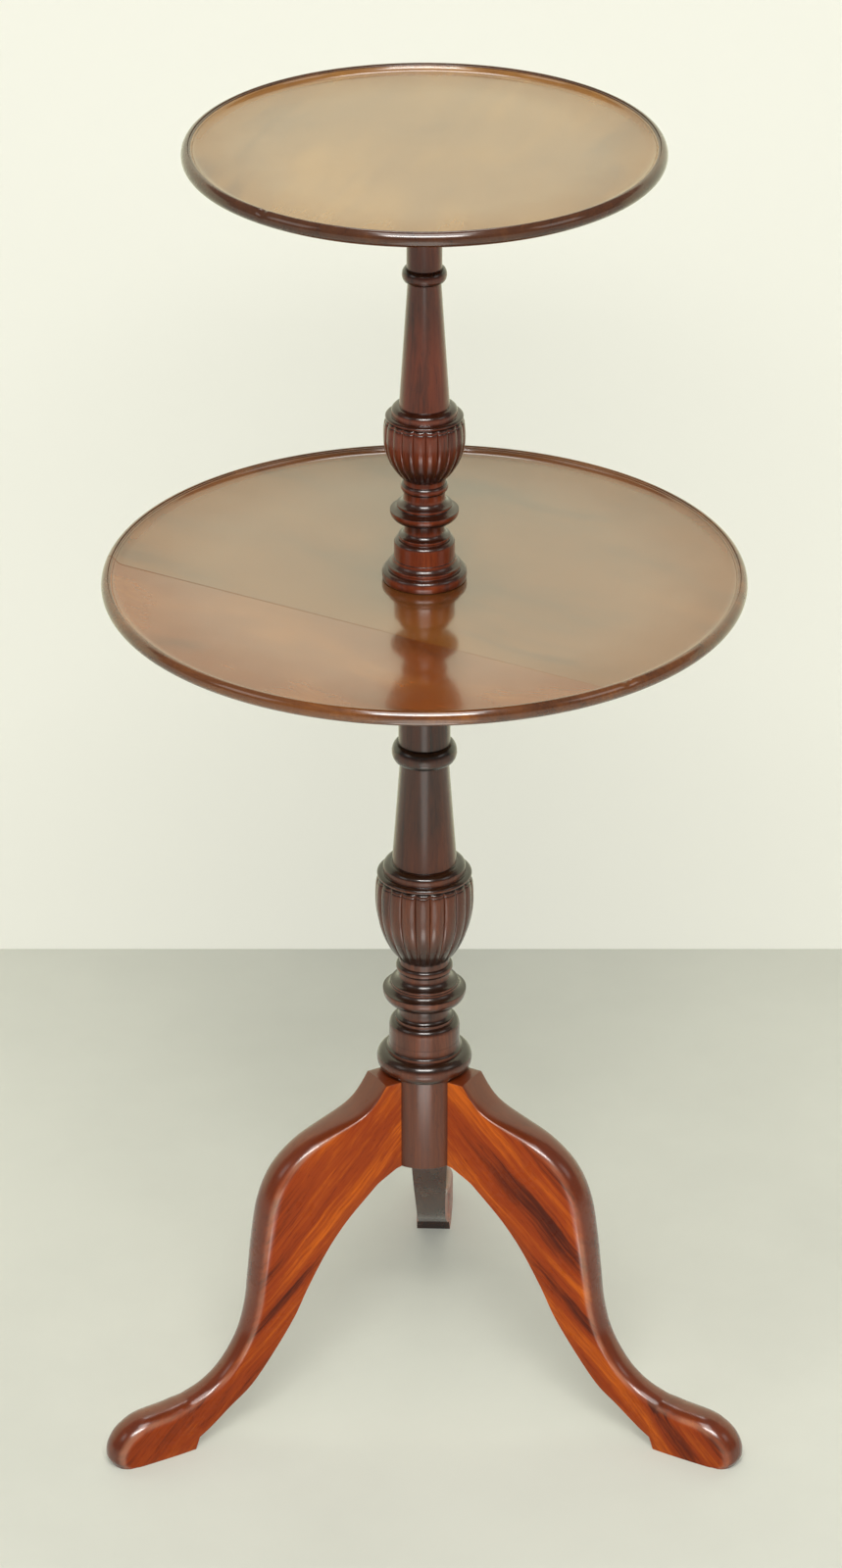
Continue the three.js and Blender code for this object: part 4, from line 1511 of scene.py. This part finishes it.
@dataclass
class Bearer:
    """The turned disc under a tray, with four screws, in millimetres."""

    node: str
    body: Body
    floor: float
    radius: float
    thickness: float
    edge_radius: float
    screw_inset: float
    bore: float
    screw: WoodScrew
    fillet: float = 0.9
    flat: float = 22.0
    screws: int = 4
    sides: int = 160
    edge_steps: int = 8

    def outline(self) -> list[Point]:
        """Returns the closed outline, from the bore out along the underside and back over the top."""
        made = [(self.bore, 0.0), (self.bore + self.flat, 0.0), (self.radius - self.edge_radius, 0.0)]
        for i in range(1, self.edge_steps + 1):
            turn = math.pi / 2 * i / self.edge_steps
            made.append((self.radius - self.edge_radius * (1 - math.sin(turn)),
                         self.edge_radius * (1 - math.cos(turn))))
        inner = self.radius - self.fillet
        made += [(self.radius, self.thickness - 2.2), (inner, self.thickness - 1.6), (inner, self.thickness),
                 (self.bore, self.thickness), (self.bore, 0.0)]
        return [(radius, height + self.floor) for radius, height in made]

    def build(self, axis: Axis, finishes: Finishes) -> None:
        """Builds the disc and its screws in place.

        Args:
            axis: Where the column stands.
            finishes: The table's finishes.
        """
        name = f"turned_{self.node}"
        made = turned(name, self.outline(), finishes.bearer, self.sides)
        circle = self.radius - self.screw_inset
        for i in range(self.screws):
            angle = math.radians(45 + 90 * i)
            seat = moved(circle * math.cos(angle), circle * math.sin(angle), self.floor)
            drill = self.screw.hole()
            drill.data.transform(seat)
            combined(made, drill, "DIFFERENCE")
            fixing = self.screw.build(f"{name}_screw_{i + 1}", finishes.steel)
            fixing.data.transform(seat @ spun(37 + 67 * i))
            axis.place(fixing, self.body, Slot.STEEL, f"{self.node}_screw_{i + 1}")
        axis.place(made, self.body, Slot.BEARER, self.node)


@dataclass(frozen=True)
class Chip:
    """A small bruise on a rim: where it is round the tray, its length along the rim and its depth."""

    degrees: float
    length: float
    depth: float


@dataclass
class DishedTray:
    """A dished round tray with a moulded rim, of one board or of two with a glued joint, in millimetres."""

    name: str
    rim_top: float
    radius: float
    board: float
    chips: tuple[Chip, ...]
    hole: float = 0.0
    nose: float = 5.75
    nose_width: float = 4.6
    nose_steps: int = 20
    bead_width: float = 1.9
    bead_drop: float = 0.7
    bead_quirk: float = 0.5
    bead_rise: float = 0.62
    bead_steps: int = 8
    ledge_width: float = 1.0
    ledge_drop: float = 1.5
    cove: float = 7.2
    cove_steps: int = 10
    drop: float = 4.7
    under: float = 34.0
    arris: float = 0.3
    field_rings: int = 30
    sides: int = 720
    wave: float = 0.05
    # The glued joint's distance from the axis, its width, and how much wider it is at its left end
    joint_offset: float = 92.0
    joint_gap: float = 0.35
    joint_opening: float = 0.5
    sharp: float = 34.0

    def outline(self) -> list[Point]:
        """Returns the rim's outline from the underside round the nose and over the moulding to the field."""
        top, centre = self.rim_top, self.rim_top - self.nose
        made = [(self.radius - self.under, self.rim_top - self.drop - self.board)]
        for i in range(self.nose_steps + 1):
            turn = math.pi * i / self.nose_steps - math.pi / 2
            reach = self.nose_width if turn > 0 else self.nose
            made.append((self.radius - reach * (1 - math.cos(turn)), centre + self.nose * math.sin(turn)))
        groove = self.radius - self.nose_width
        quirk = top - self.bead_drop - self.bead_quirk
        made.append((groove, quirk))
        for i in range(1, self.bead_steps):
            turn = math.pi * i / self.bead_steps
            made.append((groove - self.bead_width / 2 * (1 - math.cos(turn)),
                         quirk + self.bead_rise * math.sin(turn)))
        bead = groove - self.bead_width
        ledge = bead - self.ledge_width
        made += [(bead, top - self.bead_drop - 0.35), (bead, top - self.ledge_drop),
                 (ledge, top - self.ledge_drop)]
        depth = self.drop - self.ledge_drop
        for i in range(1, self.cove_steps + 1):
            turn = math.pi / 2 * i / self.cove_steps
            made.append((ledge - self.cove * (1 - math.cos(turn)),
                         top - self.ledge_drop - depth * math.sin(turn)))
        return made

    def build(self, finish: TrayFinish) -> bpy.types.Object:
        """Builds the whole disc.

        Args:
            finish: Its finishes.

        Returns:
            The disc at its height.
        """
        rim = softened(self.outline(), self.arris, 2)
        field_top, inner = self.rim_top - self.drop, rim[-1][0]
        underside = field_top - self.board
        rows = [(self.hole, underside)] + rim
        for i in range(1, self.field_rings + 1):
            share = i / self.field_rings
            rows.append((inner + (self.hole - inner) * share if i < self.field_rings else self.hole, field_top))
        if self.hole:
            rows.append((self.hole, underside))
        made = turned(self.name, rows, finish.field, self.sides, self.sharp)
        self.dress(made, finish)
        self.wave_field(made, field_top, inner)
        self.bruise(made)
        return made

    def dress(self, made: bpy.types.Object, finish: TrayFinish) -> None:
        """Gives the rim a darker copy of the polish, painted shade on the moulding, and leaves the underside
        bare.

        Args:
            made: The disc, with the field's finish all over.
            finish: The tray's finishes.
        """
        made.data.materials.append(finish.rim)
        made.data.materials.append(finish.underside)
        bead = self.radius - self.nose_width - self.bead_width
        for face in made.data.polygons:
            reach = math.hypot(face.center.x, face.center.y) / MM
            if face.normal.z < -0.7 and reach < self.radius - self.nose:
                face.material_index = 2
            elif reach > bead:
                face.material_index = 1

    def wave_field(self, made: bpy.types.Object, field_top: float, inner: float) -> None:
        """Gives the field the slight waves of an old board.

        Args:
            made: The disc.
            field_top: The field's height.
            inner: The field's radius.
        """
        for vertex in made.data.vertices:
            x, y, z = (c / MM for c in vertex.co)
            reach = math.hypot(x, y)
            if abs(z - field_top) < 0.01 and self.hole < reach < inner - 1:
                ease = min(1.0, (inner - reach) / 25)
                slow = noise.noise(Vector((x, y, self.radius)) / 46)
                quick = noise.noise(Vector((y, x, 7.0)) / 17)
                vertex.co.z -= self.wave * MM * ease * (0.8 + (slow + 0.4 * quick))

    def bruise(self, made: bpy.types.Object) -> None:
        """Dents the rim at its chips.

        Args:
            made: The disc.
        """
        for vertex in made.data.vertices:
            x, y, z = (c / MM for c in vertex.co)
            reach = math.hypot(x, y)
            if reach < self.radius - 2 * self.nose:
                continue
            for chip in self.chips:
                turn = math.atan2(y, x) - math.radians(chip.degrees)
                along = abs((turn + math.pi) % (2 * math.pi) - math.pi) * reach
                near = max(0.0, 1 - along / chip.length)
                high = max(0.0, 1 - (self.rim_top - z) / (1.3 * self.nose))
                rough = 0.8 + 0.4 * noise.noise(Vector((x, y, z)) / 1.5)
                dent = chip.depth * min(1.0, 1.6 * near) * high * rough
                if dent > 0:
                    vertex.co.x -= dent * MM * x / reach * 0.7
                    vertex.co.y -= dent * MM * y / reach * 0.7
                    vertex.co.z -= dent * MM * 0.7

    def half(self, finish: TrayFinish, name: str, side: int) -> bpy.types.Object:
        """Builds the part of the disc on one side of its glued joint.

        Args:
            finish: Its finishes.
            name: Its name.
            side: 1 for the part with the hole, -1 for the other.

        Returns:
            The board.
        """
        turn = math.radians(JOINT_DEGREES) + (self.joint_opening / self.radius / 2 if side < 0 else 0.0)
        facing = Vector((math.cos(turn), math.sin(turn), 0))
        board = self.build(finish)
        board.name = board.data.name = name
        work = bmesh.new()
        work.from_mesh(board.data)
        cut = bmesh.ops.bisect_plane(
            work,
            geom=[*work.verts, *work.edges, *work.faces],
            plane_co=facing * (self.joint_offset - side * self.joint_gap / 2) * MM,
            plane_no=facing * side,
            clear_outer=True,
        )
        edges = [e for e in cut["geom_cut"] if isinstance(e, bmesh.types.BMEdge)]
        bmesh.ops.holes_fill(work, edges=edges, sides=0)
        bmesh.ops.recalc_face_normals(work, faces=work.faces)
        work.to_mesh(board.data)
        work.free()
        shade(board, self.sharp)
        return board


# Studio


@dataclass(frozen=True)
class Lamp:
    """A soft lamp, in metres from the table's axis. Where its radiance is 1, its face is white."""

    name: str
    place: Place
    size: Point
    radiance: float
    aim: Place = (0.0, 0.0, 0.5)
    colour: Colour = (1.0, 0.985, 0.95)

    def hang(self, axis: Axis) -> None:
        """Hangs the lamp.

        Args:
            axis: Where the column stands.
        """
        data = bpy.data.lights.new(self.name, "AREA")
        data.shape = "RECTANGLE"
        data.size, data.size_y = self.size
        data.energy = self.radiance * math.pi * self.size[0] * self.size[1]
        data.color = self.colour
        made = bpy.data.objects.new(self.name, data)
        origin = Vector((axis.x, axis.y, 0.0))
        made.location = origin + Vector(self.place)
        made.rotation_euler = (Vector(self.aim) - Vector(self.place)).to_track_quat("-Z", "Y").to_euler()
        made.visible_camera = False
        bpy.context.scene.collection.objects.link(made)


LAMPS = (
    Lamp("key_softbox", (0.0, -2.2, 2.7), (1.7, 1.2), 5.4),
    Lamp("key_core", (0.0, -2.16, 2.66), (1.5, 0.3), 28.0),
    Lamp("high_softbox", (0.0, -1.15, 3.3), (1.5, 1.2), 5.0),
    Lamp("low_reflector", (0.0, -1.4, 0.02), (0.5, 1.6), 1.2, aim=(0.0, -1.4, 1.0)),
    Lamp("near_reflector", (0.0, -0.375, 0.02), (0.2, 0.16), 3.4, aim=(0.0, -0.375, 1.0)),
    Lamp("left_softbox", (-2.6, -1.2, 2.2), (1.2, 1.2), 1.2),
    Lamp("right_softbox", (2.6, -1.2, 2.2), (1.2, 1.2), 1.2),
    Lamp("rear_softbox", (0.0, 2.0, 4.6), (1.4, 1.0), 5.0),
)


@dataclass
class Studio:
    """The plain floor and backdrop, the soft lamps, the world and the camera, in metres."""

    axis: Axis
    camera_height: float = 2.436
    camera_distance: float = 3.831
    pitch_degrees: float = 26.83
    lens: float = 136.02
    shift: float = -3.5 / 1600
    floor_colour: Colour = (0.66, 0.67, 0.59)
    floor_reach: float = 9.0
    floor_drop: float = 0.0003
    wall_colour: Colour = (0.91, 0.91, 0.8)
    # The backdrop's colour where it is mirrored: a painted yellow tint for the trays' shadow on it
    mirrored_wall_shade: Colour = (0.95, 0.96, 0.67)
    wall_behind: float = 0.67
    wall_height: float = 1.55
    wall_reach: float = 4.0
    wall_drop: float = 0.0002
    surroundings: Colour = (0.98, 1.0, 0.93)

    def camera(self) -> None:
        """Sets the photograph's camera."""
        data = bpy.data.cameras.new("camera")
        data.lens, data.sensor_width = self.lens, 36
        data.shift_x = self.shift
        data.clip_start, data.clip_end = 0.05, 60
        made = bpy.data.objects.new("camera", data)
        made.location = (self.axis.x, self.axis.y - self.camera_distance, self.camera_height)
        made.rotation_euler = Euler((math.radians(90 - self.pitch_degrees), 0, 0))
        bpy.context.scene.collection.objects.link(made)
        bpy.context.scene.camera = made

    def sheet(self, name: str, corners: list[Place], material: bpy.types.Material) -> None:
        """Lays a flat piece of staging.

        Args:
            name: Its name.
            corners: Its corners.
            material: Its finish.
        """
        mesh = bpy.data.meshes.new(name)
        mesh.from_pydata(corners, [], [tuple(range(len(corners)))])
        mesh.materials.append(material)
        made = bpy.data.objects.new(name, mesh)
        bpy.context.scene.collection.objects.link(made)

    def one_sided(self, surface: Surface, colour: object, share: object, passes_light: bool) -> None:
        """Finishes a staging material: a share of its own colour where it is seen, and clear from behind.

        Args:
            surface: The material in the making, whose shader takes the lamps' light.
            colour: The colour, or the socket that gives it.
            share: How much of what is seen or mirrored is the colour itself rather than the lit shader, a
                number or a socket.
            passes_light: Whether lamps shine through it from both sides.
        """
        path = surface.node("LightPath", {}).outputs
        seen = surface.math("MAXIMUM", path["Is Camera Ray"], path["Is Glossy Ray"])
        glow = surface.node("Emission", {"Color": colour}).outputs[0]
        lit, shown = surface.shader.outputs[0], surface.product(seen, share)
        front = surface.node("MixShader", {0: shown, 1: lit, 2: glow}).outputs[0]
        hidden = surface.node("NewGeometry", {}).outputs["Backfacing"]
        if passes_light:
            hidden = surface.math("MAXIMUM", hidden, path["Is Shadow Ray"])
        clear = surface.node("BsdfTransparent", {}).outputs[0]
        both = surface.node("MixShader", {0: hidden, 1: front, 2: clear}).outputs[0]
        surface.feed(surface.tree.nodes["Material Output"], {"Surface": both})

    def floor(self) -> None:
        """Lays the pale floor, which is clear from below so that the underside can be looked at."""
        surface = Surface("pale_floor")
        cloud = surface.noise(surface.coords["Object"], 2.2, 5.0, 0.6)
        shady, pale = (opaque(tuple(c * shade for c in self.floor_colour)) for shade in (0.95, 1.04))
        colour = surface.tint(surface.spread(cloud, 0.3, 0.7), shady, pale)
        surface.feed(surface.shader, {"Base Color": colour, "Roughness": 0.65})
        distance = surface.vector("LENGTH", surface.coords["Object"])
        self.one_sided(surface, colour, surface.spread(distance, 0.9, 3.5, 0.35, 0.97), False)
        reach, low = self.floor_reach, -self.floor_drop
        corners = [(-reach, -reach, low), (reach, -reach, low), (reach, reach, low), (-reach, reach, low)]
        self.sheet("floor", corners, surface.material)

    def wall(self) -> None:
        """Stands the low pale backdrop behind the table, which can't be seen from behind."""
        surface = Surface("pale_backdrop")
        direct = opaque(self.wall_colour)
        surface.feed(surface.shader, {"Base Color": direct, "Roughness": 0.8, "Specular IOR Level": 0.1})
        # Yellower where mirrored: painted shade standing for the trays' shadow on the backdrop
        mirrored = surface.node("LightPath", {}).outputs["Is Glossy Ray"]
        colour = surface.tint(mirrored, direct, opaque(self.mirrored_wall_shade))
        self.one_sided(surface, colour, 0.65, True)
        y, reach = self.axis.y + self.wall_behind, self.wall_reach
        low, high = -self.wall_drop, self.wall_height
        corners = [(-reach, y, low), (reach, y, low), (reach, y, high), (-reach, y, high)]
        self.sheet("backdrop", corners, surface.material)

    def world(self) -> None:
        """Sets the plain surroundings and the even light that they give."""
        world = bpy.data.worlds.new("surroundings")
        bpy.context.scene.world = world
        world.use_nodes = True
        wires = Wiring(world.node_tree)
        path = wires.node("LightPath", {}).outputs
        strength = wires.between(path["Is Camera Ray"], wires.between(path["Is Glossy Ray"], 0.16, 0.2), 0.85)
        background = world.node_tree.nodes["Background"]
        wires.feed(background, {"Color": opaque(self.surroundings), "Strength": strength})

    def build(self) -> None:
        """Sets up the whole studio."""
        self.camera()
        self.floor()
        self.wall()
        self.world()
        for lamp in LAMPS:
            lamp.hang(self.axis)
        bpy.context.scene.view_settings.view_transform = "Standard"


def measured(node: str) -> tuple[Vector, Vector]:
    """Returns a CAD node's lowest and highest corner in millimetres."""
    low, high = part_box(node)
    return Vector(low) / MM, Vector(high) / MM


def build_stand(axis: Axis, finishes: Finishes, lower_bearer: float, upper_bearer: float) -> None:
    """Builds the two columns, the legs and the iron plate.

    Args:
        axis: Where the column stands.
        finishes: The table's finishes.
        lower_bearer: The height of the lower bearer's underside.
        upper_bearer: The height of the upper bearer's underside.
    """
    block_floor = measured("lower_column")[0].z
    seat, pin_top = (corner.z for corner in measured("upper_column"))
    leg_high = measured("leg_back")[1]
    block_top = leg_high.z + FIT_GAP
    legs = CabrioleLegs(leg_high.y - axis.y / MM, block_top, block_floor)
    lower = lower_column(block_top, block_floor, lower_bearer - RUNNING_GAP, seat)
    made = lower.build(finishes.column)
    legs.cut_sockets(made, lower.sharp)
    axis.place(made, Body.STAND, Slot.COLUMN, "lower_column")
    made = upper_column(seat, upper_bearer - RUNNING_GAP, pin_top).build(finishes.upper_column)
    axis.place(made, Body.STAND, Slot.COLUMN, "upper_column")
    legs.build(axis, finishes)
    LegPlate(block_floor).build(axis, finishes)


def build_trays(axis: Axis, finishes: Finishes, lower_bearer: float, upper_bearer: float) -> None:
    """Builds the two trays, each with its bearer.

    Args:
        axis: Where the column stands.
        finishes: The table's finishes.
        lower_bearer: The height of the lower bearer's underside.
        upper_bearer: The height of the upper bearer's underside.
    """
    bore = LOWER_PIN + BORE_GAP
    Bearer(
        "lower_bearer", Body.LOWER_TRAY, lower_bearer, radius=76.0, thickness=19.0, edge_radius=6.0,
        screw_inset=20.0, bore=bore, screw=WoodScrew(25.8),
    ).build(axis, finishes)
    Bearer(
        "upper_bearer", Body.UPPER_TRAY, upper_bearer, radius=52.0, thickness=16.0, edge_radius=5.0,
        screw_inset=15.0, bore=UPPER_PIN + BORE_GAP, screw=WoodScrew(22.8),
    ).build(axis, finishes)
    rim_top = measured("lower_tray_back_board")[1].z
    chips = (Chip(-52.0, 4.5, 1.0),)
    large = DishedTray("large_tray", rim_top, radius=230.0, board=11.5, hole=bore, chips=chips)
    back = large.half(finishes.back_board, "large_tray_back_board", 1)
    front = large.half(finishes.front_board, "large_tray_front_board", -1)
    axis.place(back, Body.LOWER_TRAY, Slot.TRAY, "lower_tray_back_board")
    axis.place(front, Body.LOWER_TRAY, Slot.TRAY, "lower_tray_front_board")
    rim_top = measured("upper_tray_board")[1].z
    chips = (Chip(229.0, 4.0, 0.9),)
    small = DishedTray("small_tray", rim_top, radius=167.5, board=10.5, chips=chips)
    axis.place(small.build(finishes.small_tray), Body.UPPER_TRAY, Slot.TRAY, "upper_tray_board")


def main() -> None:
    """Builds the table round the frame, and the studio round the table."""
    low, high = measured("lower_bearer")
    axis = Axis((low.x + high.x) / 2 * MM, (low.y + high.y) / 2 * MM)
    upper_bearer = measured("upper_bearer")[0].z
    finishes = Finishes()
    build_stand(axis, finishes, low.z, upper_bearer)
    build_trays(axis, finishes, low.z, upper_bearer)
    Studio(axis).build()
    bpy.context.view_layer.update()


if __name__ == "__main__":
    main()
